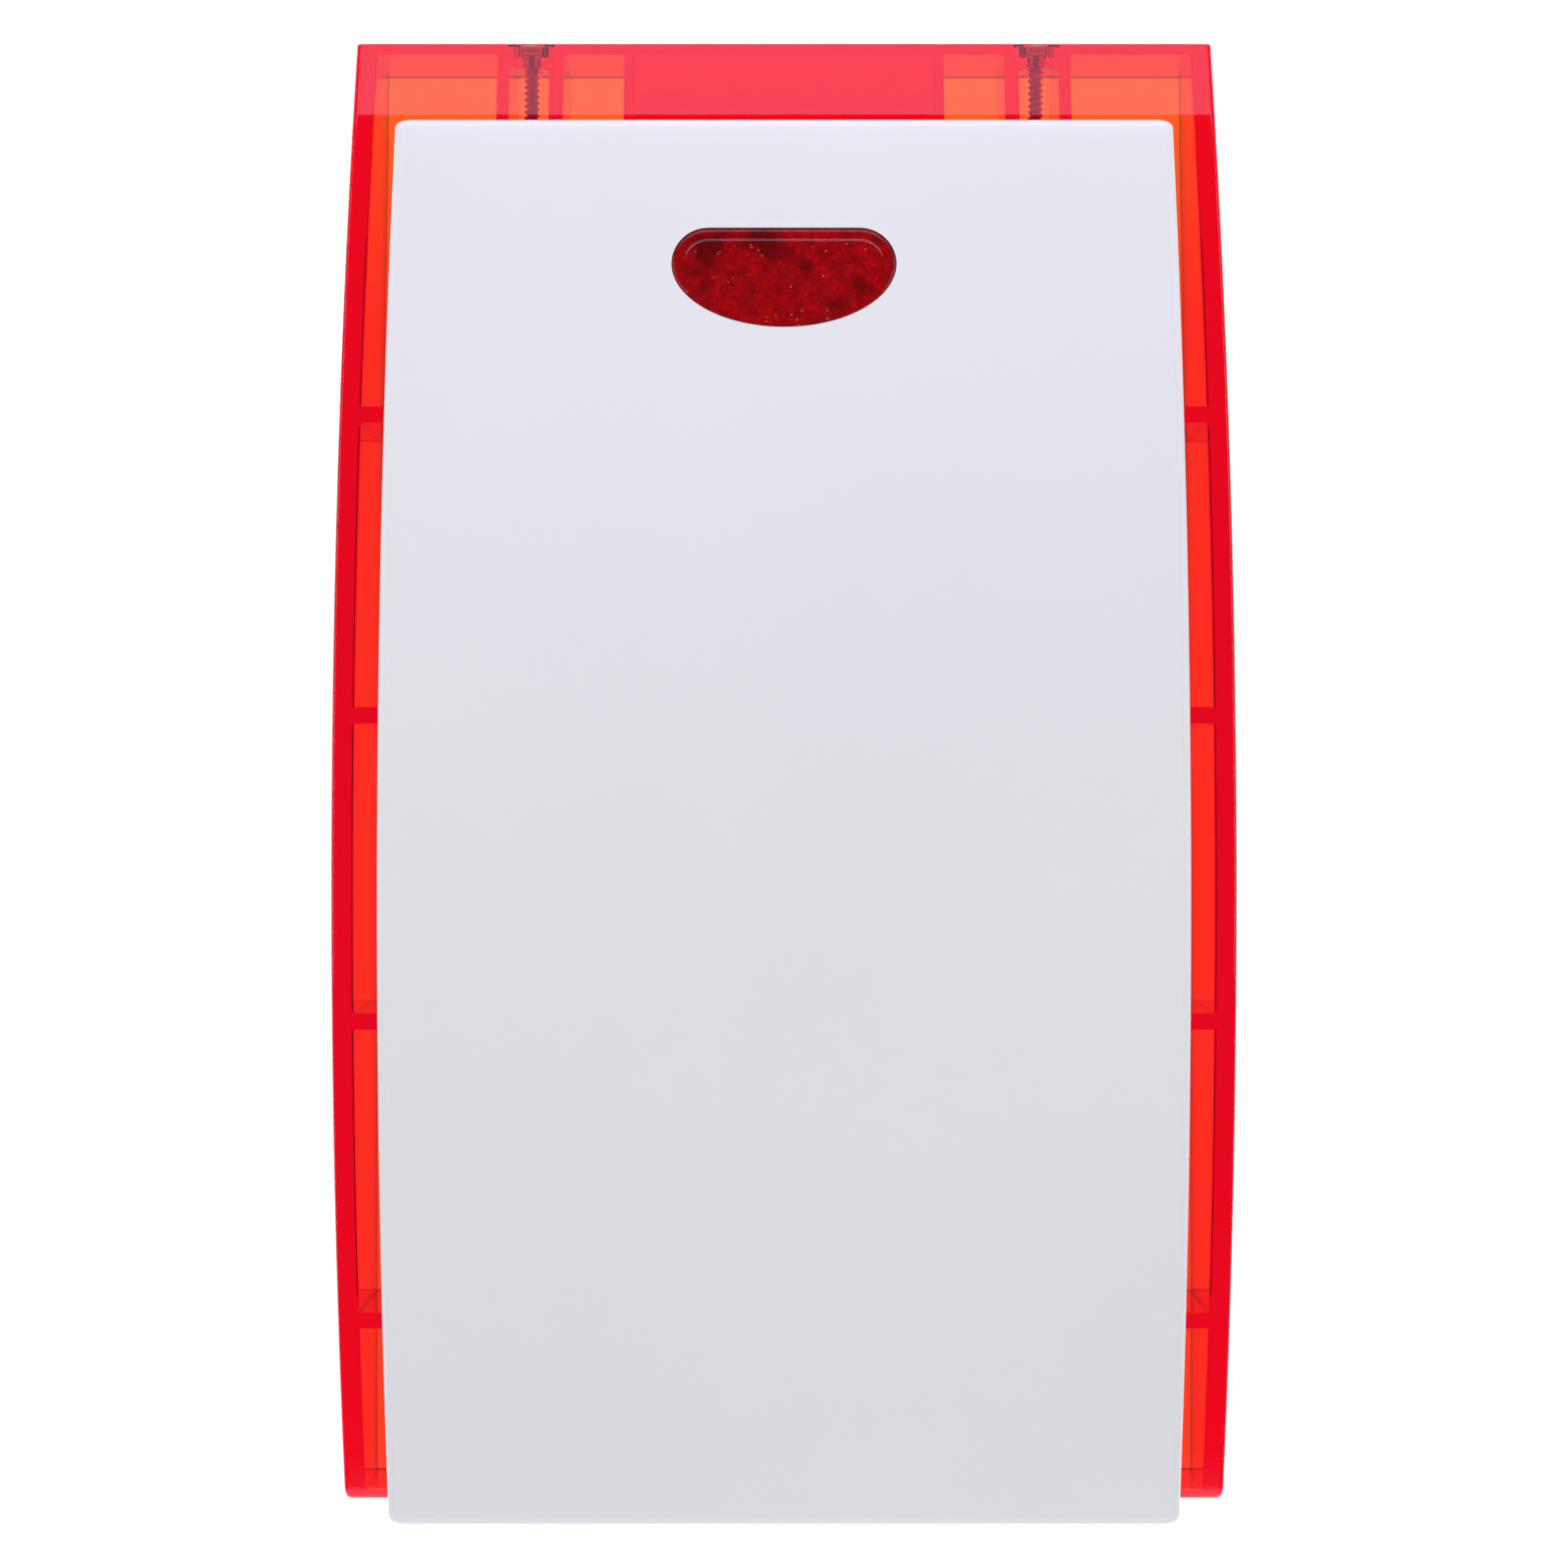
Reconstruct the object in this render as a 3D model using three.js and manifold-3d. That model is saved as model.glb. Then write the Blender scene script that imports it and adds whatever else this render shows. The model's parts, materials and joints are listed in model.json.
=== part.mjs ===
// A wall-mounted outdoor horn strobe: a translucent red housing on a white back plate, a white front cover
// that tilts down on two hinge pins, and the sounder, strobe, battery and tamper switches inside.
// Millimetres. X runs to the right, Y towards the wall and Z up; the wall is the plane y = 0.
import * as THREE from 'three';
import { mergeVertices } from 'three/addons/utils/BufferGeometryUtils.js';
import Module from 'manifold-3d';

const wasm = await Module();
wasm.setup();

// ---- Driving dimensions ----
const GAP = 0.3; // clearance between pieces that touch
const TOP = 161.2;
const BOTTOM = -156.0;
const STATIONS = 12; // slices in a bowed shell
const HOUSING = { side: 4.1, front: 2.6, top: 2.6, bottom: 2.2, rear: -0.4, corner: 1.6 };
const PLATE = { front: -2.5, back: 0 };
const PLATE_FACE = PLATE.front - GAP; // where things that sit on the plate begin
const RIB_BACK = PLATE.front - 0.4; // where a rib ends that stands over the plate
const BAY = { half: 78, wall: 2.4, top: 139.4 }; // the walls round the electronics, inside the housing
const SIDE_RIBS = { heights: [78.5, 14.5, -50.3, -115.3], thick: 3.5 };
const TOP_RIBS = { edges: [[32.5, 34.8], [47.9, 51.1], [59.7, 62.4]], bottom: 117.5 };
const CENTRE_PANEL = { front: -3.4, back: -0.8 };
const COVER = { top: 142.3, bottom: -160.3, proud: 9.0, wall: 2.6, corner: 1.8, gap: 0.4 };
const COVER_SCREW = { x: 55.2, y: -23, shank: 1.75, flange: 3.45, head: 2.7, seat: 158.2, tip: 120 };
// A lug's stub runs from front to split, and its fork from there to back.
const LUG = { half: 3.5, low: 128, high: 132, front: -47, split: -40, back: -17 };
const HINGE = { x: 50, y: -22, z: -159, pin: 1.2, ring: 2.6, half: 3.6 };
const LENS = { flat: 16, side: 110.2, round: 7.7, half: 23.7, drop: 13.7 };
const HOUSING_SCREWS = [[-70, 100], [70, 100], [-70, -132], [70, -132]];
const HOUSING_BOSS = { radius: 4.7, back: -6, bore: 3.5, seat: -8.2 };
const SCREW_HOLE = 2.05; // radius of a hole that a 3.5 mm screw passes or cuts into
const WEB = { low: [TOP_RIBS.bottom, 125.5, -16], high: [155.7, TOP - 1, -17.5] }; // bottom, top and back
const SOUND_SLOT = { each: 3, pitch: 12, half: 4.5, front: -21.5, back: -8 }; // each is the number per side
const BOARD = { half: 60, low: -2, high: 70, front: -10, back: -8.4 };
const BOARD_SCREWS = [[-54, 4], [54, 4], [-54, 64], [54, 64]];
const STROBE = { half: 28, low: 94, high: 138, front: -14, back: -12.4, z: 116 };
const STROBE_SCREWS = [[-23, 99], [23, 133]];
const LED_PITCH = 10;
const CELL = { radius: 7.25, count: 6, low: -58, high: -8, axis: -13.2 };
const STRAP = { half: 47, low: -36, high: -30, foot: 58, screw: 53, thick: 1.5 };
const HORN = { wall: 1.8, throat: -90, axis: -24.2, driver: 18.6, top: -64, sides: 20 };
// The horn's square duct at each joint between its sections: height, half width, half depth and middle.
const HORN_DUCT = [
  [-152.9, 45, 9.2, -15.2],
  [-137, 27, 9, -16.2],
  [-116, 13, 8.6, -19.4],
  [-90, 8, 8, -24.2],
];
const HORN_FOOT = { z: -126, near: 12, far: 46, thick: 1.8 };
const HORN_SCREWS = [-40, 40];
const CABLE = { x: 0, z: 82, hole: 8, bore: 4 };
const TAMPER = { x: 30, z: 40, rod: 1.8, tip: 0.9 }; // tip is how far the plunger stands out of the housing
const WALL_TAMPER = { x: -40, z: 82, rod: 2.1 };
const WALL_SLOTS = [[-67, 50], [67, 50], [-67, -90], [67, -90]];
const WALL_SLOT = { radius: 2.6, reach: 5 };
// How far behind the cover's face each layer of the window begins and ends.
const WINDOW = { pane: [0.15, 4.4], seal: [2.75, 3.45], flange: [3.6, 4.8], retainer: [5.05, 6.6] };
const LEADS = {
  radius: 1.1,
  battery: [[38, -13.2, -7.4], [38, -14, -3], [39, -22, 2], [40, -25, 8], [40, -20, 11.8], [40, -15, 12]],
  strobe: [[20, -14, 62], [20, -18, 63.5], [18, -19.2, 74], [12, -19.2, 88], [10, -18, 96], [10, -14.6, 99]],
  horn: [[-19.4, -24.2, -74.4], [-30, -24.5, -72], [-56, -24, -58], [-63, -22, -33], [-56, -23, -10],
    [-34, -26, 2], [-20, -22, 5.6], [-18, -14, 6]],
};

// ---- Finishes ----
const RED_PLASTIC = { color: 0xe8222e, roughness: 0.15, metalness: 0 };
const WHITE_PLASTIC = { color: 0xe6e4ec, roughness: 0.25, metalness: 0 };
const LENS_PLASTIC = { color: 0x96000a, roughness: 0.12, metalness: 0 };
const PLATE_PLASTIC = { color: 0xf0efe9, roughness: 0.5, metalness: 0 };
const BLACK_PLASTIC = { color: 0x1d1e20, roughness: 0.45, metalness: 0 };
const RUBBER = { color: 0x17181a, roughness: 0.85, metalness: 0 };
const STEEL = { color: 0xb4b6b8, roughness: 0.35, metalness: 1 };
const BOARD_GREEN = { color: 0x1c6a3c, roughness: 0.45, metalness: 0 };
const TERMINAL_GREEN = { color: 0x2f8f4a, roughness: 0.4, metalness: 0 };
const COPPER = { color: 0xb8693a, roughness: 0.35, metalness: 1 };
const FERRITE = { color: 0x2b2b2e, roughness: 0.6, metalness: 0 };
const MIRROR = { color: 0xe6e8ea, roughness: 0.08, metalness: 1 };
const LED_RESIN = { color: 0xf2e8c0, roughness: 0.2, metalness: 0 };
const CELL_WRAP = { color: 0x2b5fa8, roughness: 0.4, metalness: 0 };
const LEAD_SHEATH = { color: 0xb01c1c, roughness: 0.55, metalness: 0 };
const ALUMINIUM = { color: 0xc9ccd0, roughness: 0.3, metalness: 1 };

// ---- Geometry and solids ----
function solid(geometry) {
  const flat = geometry.index ? geometry.toNonIndexed() : geometry;
  const bare = new THREE.BufferGeometry().setAttribute('position', flat.getAttribute('position'));
  const merged = mergeVertices(bare, 1e-4);
  const triVerts = new Uint32Array(merged.index.array);
  const vertProperties = merged.attributes.position.array;
  return new wasm.Manifold(new wasm.Mesh({ numProp: 3, vertProperties, triVerts }));
}

function geometryOf(manifold) {
  const mesh = manifold.getMesh();
  const position = new Float32Array(mesh.numVert * 3);
  for (let i = 0; i < mesh.numVert; i++) {
    position.set(mesh.vertProperties.subarray(i * mesh.numProp, i * mesh.numProp + 3), i * 3);
  }
  const indexed = new THREE.BufferGeometry();
  indexed.setAttribute('position', new THREE.BufferAttribute(position, 3));
  indexed.setIndex(new THREE.BufferAttribute(mesh.triVerts, 1));
  return indexed.toNonIndexed();
}

const join = (first, ...rest) => rest.reduce((all, one) => all.add(one), first);
const cut = (first, ...rest) => rest.reduce((all, one) => all.subtract(one), first);

function box(x0, x1, y0, y1, z0, z1) {
  const shape = new THREE.BoxGeometry(x1 - x0, y1 - y0, z1 - z0);
  return solid(shape.translate((x0 + x1) / 2, (y0 + y1) / 2, (z0 + z1) / 2));
}

// Round bars along each axis, given by their centre line and their two ends.
function barX(radius, x0, x1, y, z, sides = 16) {
  const shape = new THREE.CylinderGeometry(radius, radius, x1 - x0, sides).rotateZ(-Math.PI / 2);
  return solid(shape.translate((x0 + x1) / 2, y, z));
}

function barY(radius, x, y0, y1, z, sides = 16) {
  const shape = new THREE.CylinderGeometry(radius, radius, y1 - y0, sides);
  return solid(shape.translate(x, (y0 + y1) / 2, z));
}

function barZ(radius, x, y, z0, z1, sides = 16) {
  const shape = new THREE.CylinderGeometry(radius, radius, z1 - z0, sides).rotateX(Math.PI / 2);
  return solid(shape.translate(x, y, (z0 + z1) / 2));
}

// A body of revolution about Y, from (radius, y) points.
function spun(points, sides, x = 0, y = 0, z = 0) {
  const shape = new THREE.LatheGeometry(points.map(([radius, at]) => new THREE.Vector2(radius, at)), sides);
  return solid(shape.translate(x, y, z));
}

// An outline in X and Z, made thick from y0 to y1.
function slab(outline, y0, y1, curveSegments = 7) {
  const shape = new THREE.ExtrudeGeometry(outline, { depth: y1 - y0, bevelEnabled: false, curveSegments });
  return solid(shape.rotateX(Math.PI / 2).translate(0, y1, 0));
}

// A closed body through convex rings of equal length, counter-clockwise seen from +Z and stacked upwards.
function loft(rings) {
  const count = rings[0].length;
  const index = [];
  for (let level = 0; level + 1 < rings.length; level++) {
    for (let i = 0; i < count; i++) {
      const [a, b] = [level * count + i, level * count + ((i + 1) % count)];
      index.push(a, b, b + count, a, b + count, a + count);
    }
  }
  const last = (rings.length - 1) * count;
  for (let i = 1; i + 1 < count; i++) {
    index.push(0, i + 1, i, last, last + i, last + i + 1);
  }
  const shape = new THREE.BufferGeometry().setFromPoints(rings.flat());
  return solid(shape.setIndex(index));
}

// A value that bows with height: given at the top, the middle and the bottom of the housing.
function bow(top, middle, bottom) {
  const centre = (TOP + BOTTOM) / 2;
  const half = (TOP - BOTTOM) / 2;
  return (z) => {
    const s = (z - centre) / half;
    return middle + (s * (top - bottom)) / 2 + s * s * ((top + bottom) / 2 - middle);
  };
}

const housingHalf = bow(93.0, 95.5, 95.8);
const housingFront = bow(-30, -56, -29);
const coverHalf = bow(83.0, 85.0, 85.6);
const coverFront = (z) => housingFront(z) - COVER.proud;

// One slice of a shell: square at the back, with two rounded corners of the given radius at the front.
function slice(z, half, front, back, radius, steps = 3) {
  const points = [new THREE.Vector3(half, back, z), new THREE.Vector3(-half, back, z)];
  for (const side of [-1, 1]) {
    for (let i = 0; i <= steps; i++) {
      const angle = (Math.PI / 2) * ((side < 0 ? 2 : 3) + i / steps);
      const x = side * (half - radius) + radius * Math.cos(angle);
      points.push(new THREE.Vector3(x, front + radius + radius * Math.sin(angle), z));
    }
  }
  return points;
}

function bowedShell(low, high, sliceAt, stations = STATIONS) {
  const rings = [];
  for (let i = 0; i <= stations; i++) rings.push(sliceAt(low + ((high - low) * i) / stations));
  return loft(rings);
}

const roundedRect = (x0, x1, z0, z1, r) => {
  const shape = new THREE.Shape().moveTo(x0 + r, z0).lineTo(x1 - r, z0);
  shape.absarc(x1 - r, z0 + r, r, -Math.PI / 2, 0).absarc(x1 - r, z1 - r, r, 0, Math.PI / 2);
  shape.absarc(x0 + r, z1 - r, r, Math.PI / 2, Math.PI);
  return shape.absarc(x0 + r, z0 + r, r, Math.PI, Math.PI * 1.5);
};

// The D of the strobe window, grown outwards by the given amount.
function lensOutline(grow) {
  const { flat, side, round, half, drop } = LENS;
  const shape = new THREE.Shape().moveTo(-flat, side + round + grow).lineTo(flat, side + round + grow);
  shape.absarc(flat, side, round + grow, Math.PI / 2, 0, true);
  shape.absellipse(0, side, half + grow, drop + grow, 0, -Math.PI, true);
  return shape.absarc(-flat, side, round + grow, Math.PI, Math.PI / 2, true);
}

// A pan-head screw standing on the origin with its head towards +Y and its shank below, and a cross recess.
function panScrew(headRadius, headHeight, shankRadius, length, sides = 10) {
  const body = spun([[0, -length], [shankRadius * 0.5, -length], [shankRadius, -length + 1.2], [shankRadius, 0],
    [headRadius, 0], [headRadius, headHeight * 0.6], [headRadius * 0.75, headHeight], [0, headHeight]], sides);
  const arm = headRadius * 0.6;
  const slot = headRadius * 0.16;
  const floor = headHeight * 0.35;
  return cut(body, box(-arm, arm, floor, headHeight + 1, -slot, slot),
    box(-slot, slot, floor, headHeight + 1, -arm, arm));
}

const part = new THREE.Group();
part.name = 'horn_strobe';

function place(parent, name, shape, finish, at = [0, 0, 0], turn = [0, 0, 0]) {
  const geometry = geometryOf(shape);
  geometry.computeVertexNormals();
  const mesh = new THREE.Mesh(geometry, new THREE.MeshStandardMaterial(finish));
  mesh.name = name;
  mesh.position.set(...at);
  mesh.rotation.set(...turn);
  parent.add(mesh);
  return mesh;
}

const HEAD_TO_FRONT = [Math.PI, 0, 0]; // turns a screw's head from +Y to -Y
const HEAD_UP = [Math.PI / 2, 0, 0]; // turns a screw's head from +Y to +Z

// ---- Back plate ----
function wallSlot([x, z]) {
  const { radius, reach } = WALL_SLOT;
  const ends = [z - reach, z + reach].map((end) => barY(radius, x, -9, 9, end, 12));
  return join(box(x - radius, x + radius, -9, 9, z - reach, z + reach), ...ends);
}

function post(radius, [x, z], front, pilot) {
  return cut(barY(radius, x, front, PLATE.back - 1, z, 12), barY(pilot, x, front - 1, 5, z, 10));
}

function backPlate() {
  const [low, high, half] = [BOTTOM + HOUSING.bottom + GAP, BAY.top - GAP, BAY.half - GAP];
  const sheet = slab(roundedRect(-half, half, low, high, 1), PLATE.front, PLATE.back, 2);
  const posts = [
    ...BOARD_SCREWS.map((at) => post(3, at, BOARD.back + GAP, 1.75)),
    ...STROBE_SCREWS.map((at) => post(3, at, STROBE.back + GAP, 1.75)),
    ...HOUSING_SCREWS.map((at) => post(3.6, at, HOUSING_BOSS.back + GAP, SCREW_HOLE)),
  ];
  const cradles = [-50, -16].map((z) => box(-44, 44, -5.6, -2, z - 1.2, z + 1.2));
  const { x, z } = WALL_TAMPER;
  const switchPosts = [x - 9, x + 9].map((at) => box(at - 1.5, at + 1.5, -19, -2, z - 3, z + 3));
  const strapZ = (STRAP.low + STRAP.high) / 2;
  const pilots = [
    ...BOARD_SCREWS, ...STROBE_SCREWS, ...HOUSING_SCREWS,
    [-STRAP.screw, strapZ], [STRAP.screw, strapZ], ...HORN_SCREWS.map((hx) => [hx, HORN_FOOT.z]),
  ].map(([px, pz]) => barY(SCREW_HOLE, px, -4, 5, pz, 10));
  return cut(join(sheet, ...posts, ...cradles, ...switchPosts), ...WALL_SLOTS.map(wallSlot), ...pilots,
    barY(CABLE.hole, CABLE.x, -9, 9, CABLE.z, 24), barY(WALL_TAMPER.rod + 0.5, x, -9, 9, z, 16));
}

function cableGrommet() {
  return spun([[CABLE.bore, -1.4], [9.6, -1.4], [9.6, 0], [CABLE.hole - GAP, 0], [CABLE.hole - GAP, 2.6],
    [CABLE.bore, 2.6], [CABLE.bore, -1.4]], 24);
}

// ---- Red housing ----
// A box given by its distances from the middle plane, on the side whose sign is given.
function sideBox(side, near, far, ...rest) {
  const [a, b] = [side * near, side * far].sort((p, q) => p - q);
  return box(a, b, ...rest);
}

function housingRibs() {
  const { half, wall, top } = BAY;
  const ribs = [box(-half - wall, half + wall, -60, HOUSING.rear, top, top + wall)];
  for (const side of [-1, 1]) {
    ribs.push(sideBox(side, half, half + wall, -60, HOUSING.rear, BOTTOM + 1, top + wall));
    for (const z of SIDE_RIBS.heights) {
      const reach = SIDE_RIBS.thick / 2;
      ribs.push(sideBox(side, half + 1, 94, -60, HOUSING.rear, z - reach, z + reach));
    }
    for (const [near, far] of TOP_RIBS.edges) {
      ribs.push(sideBox(side, near, far, -60, RIB_BACK, TOP_RIBS.bottom, TOP - 1));
      ribs.push(sideBox(side, near, far, -60, HOUSING.rear, top + 1, TOP - 1));
    }
  }
  return join(...ribs);
}

// The web that a cover screw bites into, and the one under its head.
function screwWebs(x) {
  const [near, far] = [TOP_RIBS.edges[1][1] - 0.1, TOP_RIBS.edges[2][0] + 0.1];
  const web = ([low, high, back]) => sideBox(Math.sign(x), near, far, -60, back, low, high);
  return join(web(WEB.low), web(WEB.high));
}

function screwHoles(x) {
  const { y, seat, flange } = COVER_SCREW;
  return join(barZ(SCREW_HOLE, x, y, 116, 170, 12), barZ(flange + 0.45, x, y, seat - 0.2, 170, 20),
    barZ(5.3, x, y, 160.4, 170, 20));
}

function housingBoss([x, z]) {
  return barY(HOUSING_BOSS.radius, x, -60, HOUSING_BOSS.back, z, 16);
}

function housingBossBore([x, z]) {
  return join(barY(HOUSING_BOSS.bore, x, -70, HOUSING_BOSS.seat, z, 16), barY(SCREW_HOLE, x, -9, -5, z, 10));
}

function lugOpening(x) {
  return box(x - LUG.half - 0.5, x + LUG.half + 0.5, -60, -16, LUG.low - 1.8, LUG.high + 2);
}

function hingeEars(x) {
  const { y, z, half, pin } = HINGE;
  const ear = (at) => box(at - 1.1, at + 1.1, y - 2.6, y + 2.6, z - 2.2, BOTTOM + 1);
  return cut(join(ear(x - half - 1.5), ear(x + half + 1.5)), barX(pin + GAP, x - 9, x + 9, y, z, 12));
}

function soundSlots() {
  const { each, pitch, half, front, back } = SOUND_SLOT;
  const slots = [];
  for (let i = -each; i <= each; i++) {
    slots.push(box(i * pitch - half, i * pitch + half, front, back, BOTTOM - 1, BOTTOM + 4));
  }
  return join(...slots);
}

function redHousing() {
  const outer = bowedShell(BOTTOM, TOP,
    (z) => slice(z, housingHalf(z), housingFront(z), HOUSING.rear, HOUSING.corner));
  const inner = bowedShell(BOTTOM + HOUSING.bottom, TOP - HOUSING.top,
    (z) => slice(z, housingHalf(z) - HOUSING.side, housingFront(z) + HOUSING.front, 9, 0.6, 1));
  const xs = [-COVER_SCREW.x, COVER_SCREW.x];
  const inside = join(housingRibs(), ...xs.map(screwWebs), ...HOUSING_SCREWS.map(housingBoss));
  const shell = join(cut(outer, inner), inside.intersect(outer));
  const open = cut(shell, ...xs.map(screwHoles), ...xs.map(lugOpening), ...HOUSING_SCREWS.map(housingBossBore),
    soundSlots(), barY(TAMPER.rod + 0.5, TAMPER.x, -70, -40, TAMPER.z, 16));
  return join(open, hingeEars(-HINGE.x), hingeEars(HINGE.x));
}

// A red panel that closes the back of the housing's top centre bay.
function centrePanel() {
  const half = TOP_RIBS.edges[0][0] - GAP;
  const [low, high] = [BAY.top + BAY.wall + GAP, TOP - HOUSING.top - GAP];
  return slab(roundedRect(-half, half, low, high, 0.6), CENTRE_PANEL.front, CENTRE_PANEL.back, 2);
}

// ---- Front cover ----
function coverStiffeners() {
  const inner = (z) => coverFront(z) + COVER.wall;
  const rail = (x) => bowedShell(-140, 84, (z) => [
    [x + 1, inner(z) + 3.6], [x - 1, inner(z) + 3.6], [x - 1, inner(z) - 1], [x + 1, inner(z) - 1],
  ].map(([px, py]) => new THREE.Vector3(px, py, z)), 8);
  const rung = (z) => box(-84, 84, inner(z) - 0.8, inner(z) + 3.2, z - 1, z + 1);
  return join(rail(-42), rail(42), ...[80, 14.5, -50.3, -115.3].map(rung));
}

function coverLugStub(x) {
  return box(x - LUG.half, x + LUG.half, LUG.front, LUG.split, LUG.low, LUG.high);
}

// The fork on the end of a lug's stub, open towards the wall.
function coverFork(x) {
  const { half, low, high, split, back } = LUG;
  const { y, shank } = COVER_SCREW;
  return cut(box(x - half, x + half, split + GAP, back, low, high),
    box(x - shank - 0.4, x + shank + 0.4, y - shank - 0.55, 0, low - 1, high + 1));
}

function hingeHook(x) {
  const { y, z, half, pin, ring } = HINGE;
  const arm = box(x - half, x + half, -34, y - 1, z - 1.2, z + 1.6);
  return cut(join(barX(ring, x - half, x + half, y, z, 24), arm), barX(pin + GAP, x - 9, x + 9, y, z, 24));
}

function frontCover() {
  const back = (z) => housingFront(Math.max(z, BOTTOM)) - COVER.gap;
  const outer = bowedShell(COVER.bottom, COVER.top,
    (z) => slice(z, coverHalf(z), coverFront(z), back(z), COVER.corner));
  const inner = bowedShell(COVER.bottom + COVER.wall, COVER.top - COVER.wall,
    (z) => slice(z, coverHalf(z) - COVER.wall, coverFront(z) + COVER.wall, back(z) + 6, 0.6, 1));
  const lip = box(-80, 80, -34, -27, COVER.bottom, COVER.bottom + 2.2);
  const { x, z } = TAMPER;
  const tamperPost = barY(2.5, x, coverFront(z) + 1.5, housingFront(z) - 2.4, z, 12);
  const shell = join(cut(outer, inner), coverStiffeners().intersect(outer), lip, tamperPost);
  const open = cut(shell, slab(lensOutline(0.25), -80, -40));
  const lugs = [-COVER_SCREW.x, COVER_SCREW.x].map(coverLugStub);
  return join(open, ...lugs, hingeHook(-HINGE.x), hingeHook(HINGE.x));
}

// A layer that follows the cover's bow, between two depths behind its face.
function coverLayer([from, to]) {
  const corners = [[40, to], [-40, to], [-40, from], [40, from]];
  const layer = (z) => corners.map(([x, depth]) => new THREE.Vector3(x, coverFront(z) + depth, z));
  return bowedShell(84, 130, layer, 4);
}

const lensSlab = (grow) => slab(lensOutline(grow), -80, -30);
const lensRing = (outer, inner) => cut(lensSlab(outer), slab(lensOutline(inner), -85, -25));

function strobeLens() {
  const pane = lensSlab(0).intersect(coverLayer(WINDOW.pane));
  const flange = lensSlab(2.6).intersect(coverLayer(WINDOW.flange));
  return join(pane, flange);
}

function lensSeal() {
  return lensRing(2.4, 0.4).intersect(coverLayer(WINDOW.seal));
}

function lensRetainer() {
  return lensRing(4, -1.5).intersect(coverLayer(WINDOW.retainer));
}

// ---- Boards and what they carry ----
function board({ half, low, high, front, back }, screws) {
  return cut(slab(roundedRect(-half, half, low, high, 2), front, back, 2),
    ...screws.map(([x, z]) => barY(1.75, x, front - 1, back + 1, z, 10)));
}

function terminalBlock() {
  const [face, x0, pitch, ways] = [BOARD.front - GAP, -22, 5.08, 6];
  const block = box(x0, x0 + pitch * ways, face - 9.6, face, 52, 60.4);
  const cuts = [];
  for (let i = 0; i < ways; i++) {
    const x = x0 + pitch * (i + 0.5);
    cuts.push(barY(1.7, x, face - 11, face - 8, 55.4, 8));
    cuts.push(box(x - 1.6, x + 1.6, face - 5.4, face - 2, 57.6, 62));
  }
  return cut(block, ...cuts);
}

function capacitor(height) {
  const groove = [[4.8, 1], [4.4, 1.5], [4.8, 2]];
  return spun([[0, 0], [4.8, 0], ...groove, [4.8, height - 0.5], [4.3, height], [0, height]], 16);
}

function transformerCore(x, z) {
  const back = BOARD.front - 2;
  return cut(box(x - 11, x + 11, back - 14, back, z - 5, z + 5),
    ...[x - 5.4, x + 5.4].map((at) => box(at - 2.2, at + 2.2, back - 12, back - 2, z - 8, z + 8)));
}

function transformerWinding(x, z) {
  const back = BOARD.front - 2;
  return cut(box(x - 7.2, x + 7.2, back - 11.6, back - 2.4, z - 8, z + 8),
    box(x - 3.6, x + 3.6, back - 20, back + 5, z - 5.4, z + 5.4));
}

function socket(x, z, ways) {
  const half = ways * 1.25 + 1.2;
  const face = BOARD.front - GAP;
  return cut(box(x - half, x + half, face - 6, face, z - 2.9, z + 2.9),
    box(x - half + 0.8, x + half - 0.8, face - 8, face - 1.5, z - 2.1, z + 2.1));
}

function chip(x, z) {
  const face = BOARD.front - GAP;
  const legs = [];
  for (const at of [-5.7, -3.8, -1.9, 0, 1.9, 3.8, 5.7].map((step) => z + step)) {
    legs.push(box(x - 6.1, x + 6.1, face - 0.5, face, at - 0.4, at + 0.4));
  }
  return join(box(x - 4.4, x + 4.4, face - 2.2, face - 0.2, z - 7, z + 7), ...legs);
}

function switchBody(x, z, front, back) {
  const body = box(x - 6.4, x + 6.4, front, back, z - 2.9, z + 2.9);
  return cut(body, barY(1.1, x - 3.8, front - 1, back + 1, z, 8));
}

function led() {
  const dome = new THREE.SphereGeometry(2.1, 10, 6);
  return join(box(-2.6, 2.6, -1.6, 0, -2.6, 2.6), solid(dome.translate(0, -2.2, 0)));
}

function reflector() {
  const { front, z } = STROBE;
  const [back, lip] = [front - GAP, front - 6];
  const ring = (y, halfX, halfZ) => [[halfX, -halfZ], [-halfX, -halfZ], [-halfX, halfZ], [halfX, halfZ]]
    .map(([px, pz]) => new THREE.Vector3(px, y, z + pz));
  const bowl = (margin, y0, y1) =>
    loft([ring(y0, 19 + margin, 9 + margin), ring(y1, 15 + margin, 5 + margin)]);
  return cut(bowl(1.2, lip, back), bowl(0, lip - 0.01, back + 0.01));
}

// ---- Battery ----
function batteryPack() {
  const { radius, count, low, high, axis } = CELL;
  const cells = [];
  for (let i = 0; i < count; i++) {
    cells.push(barZ(radius, (i - (count - 1) / 2) * radius * 1.97, axis, low, high, 16));
  }
  return join(...cells);
}

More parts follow.
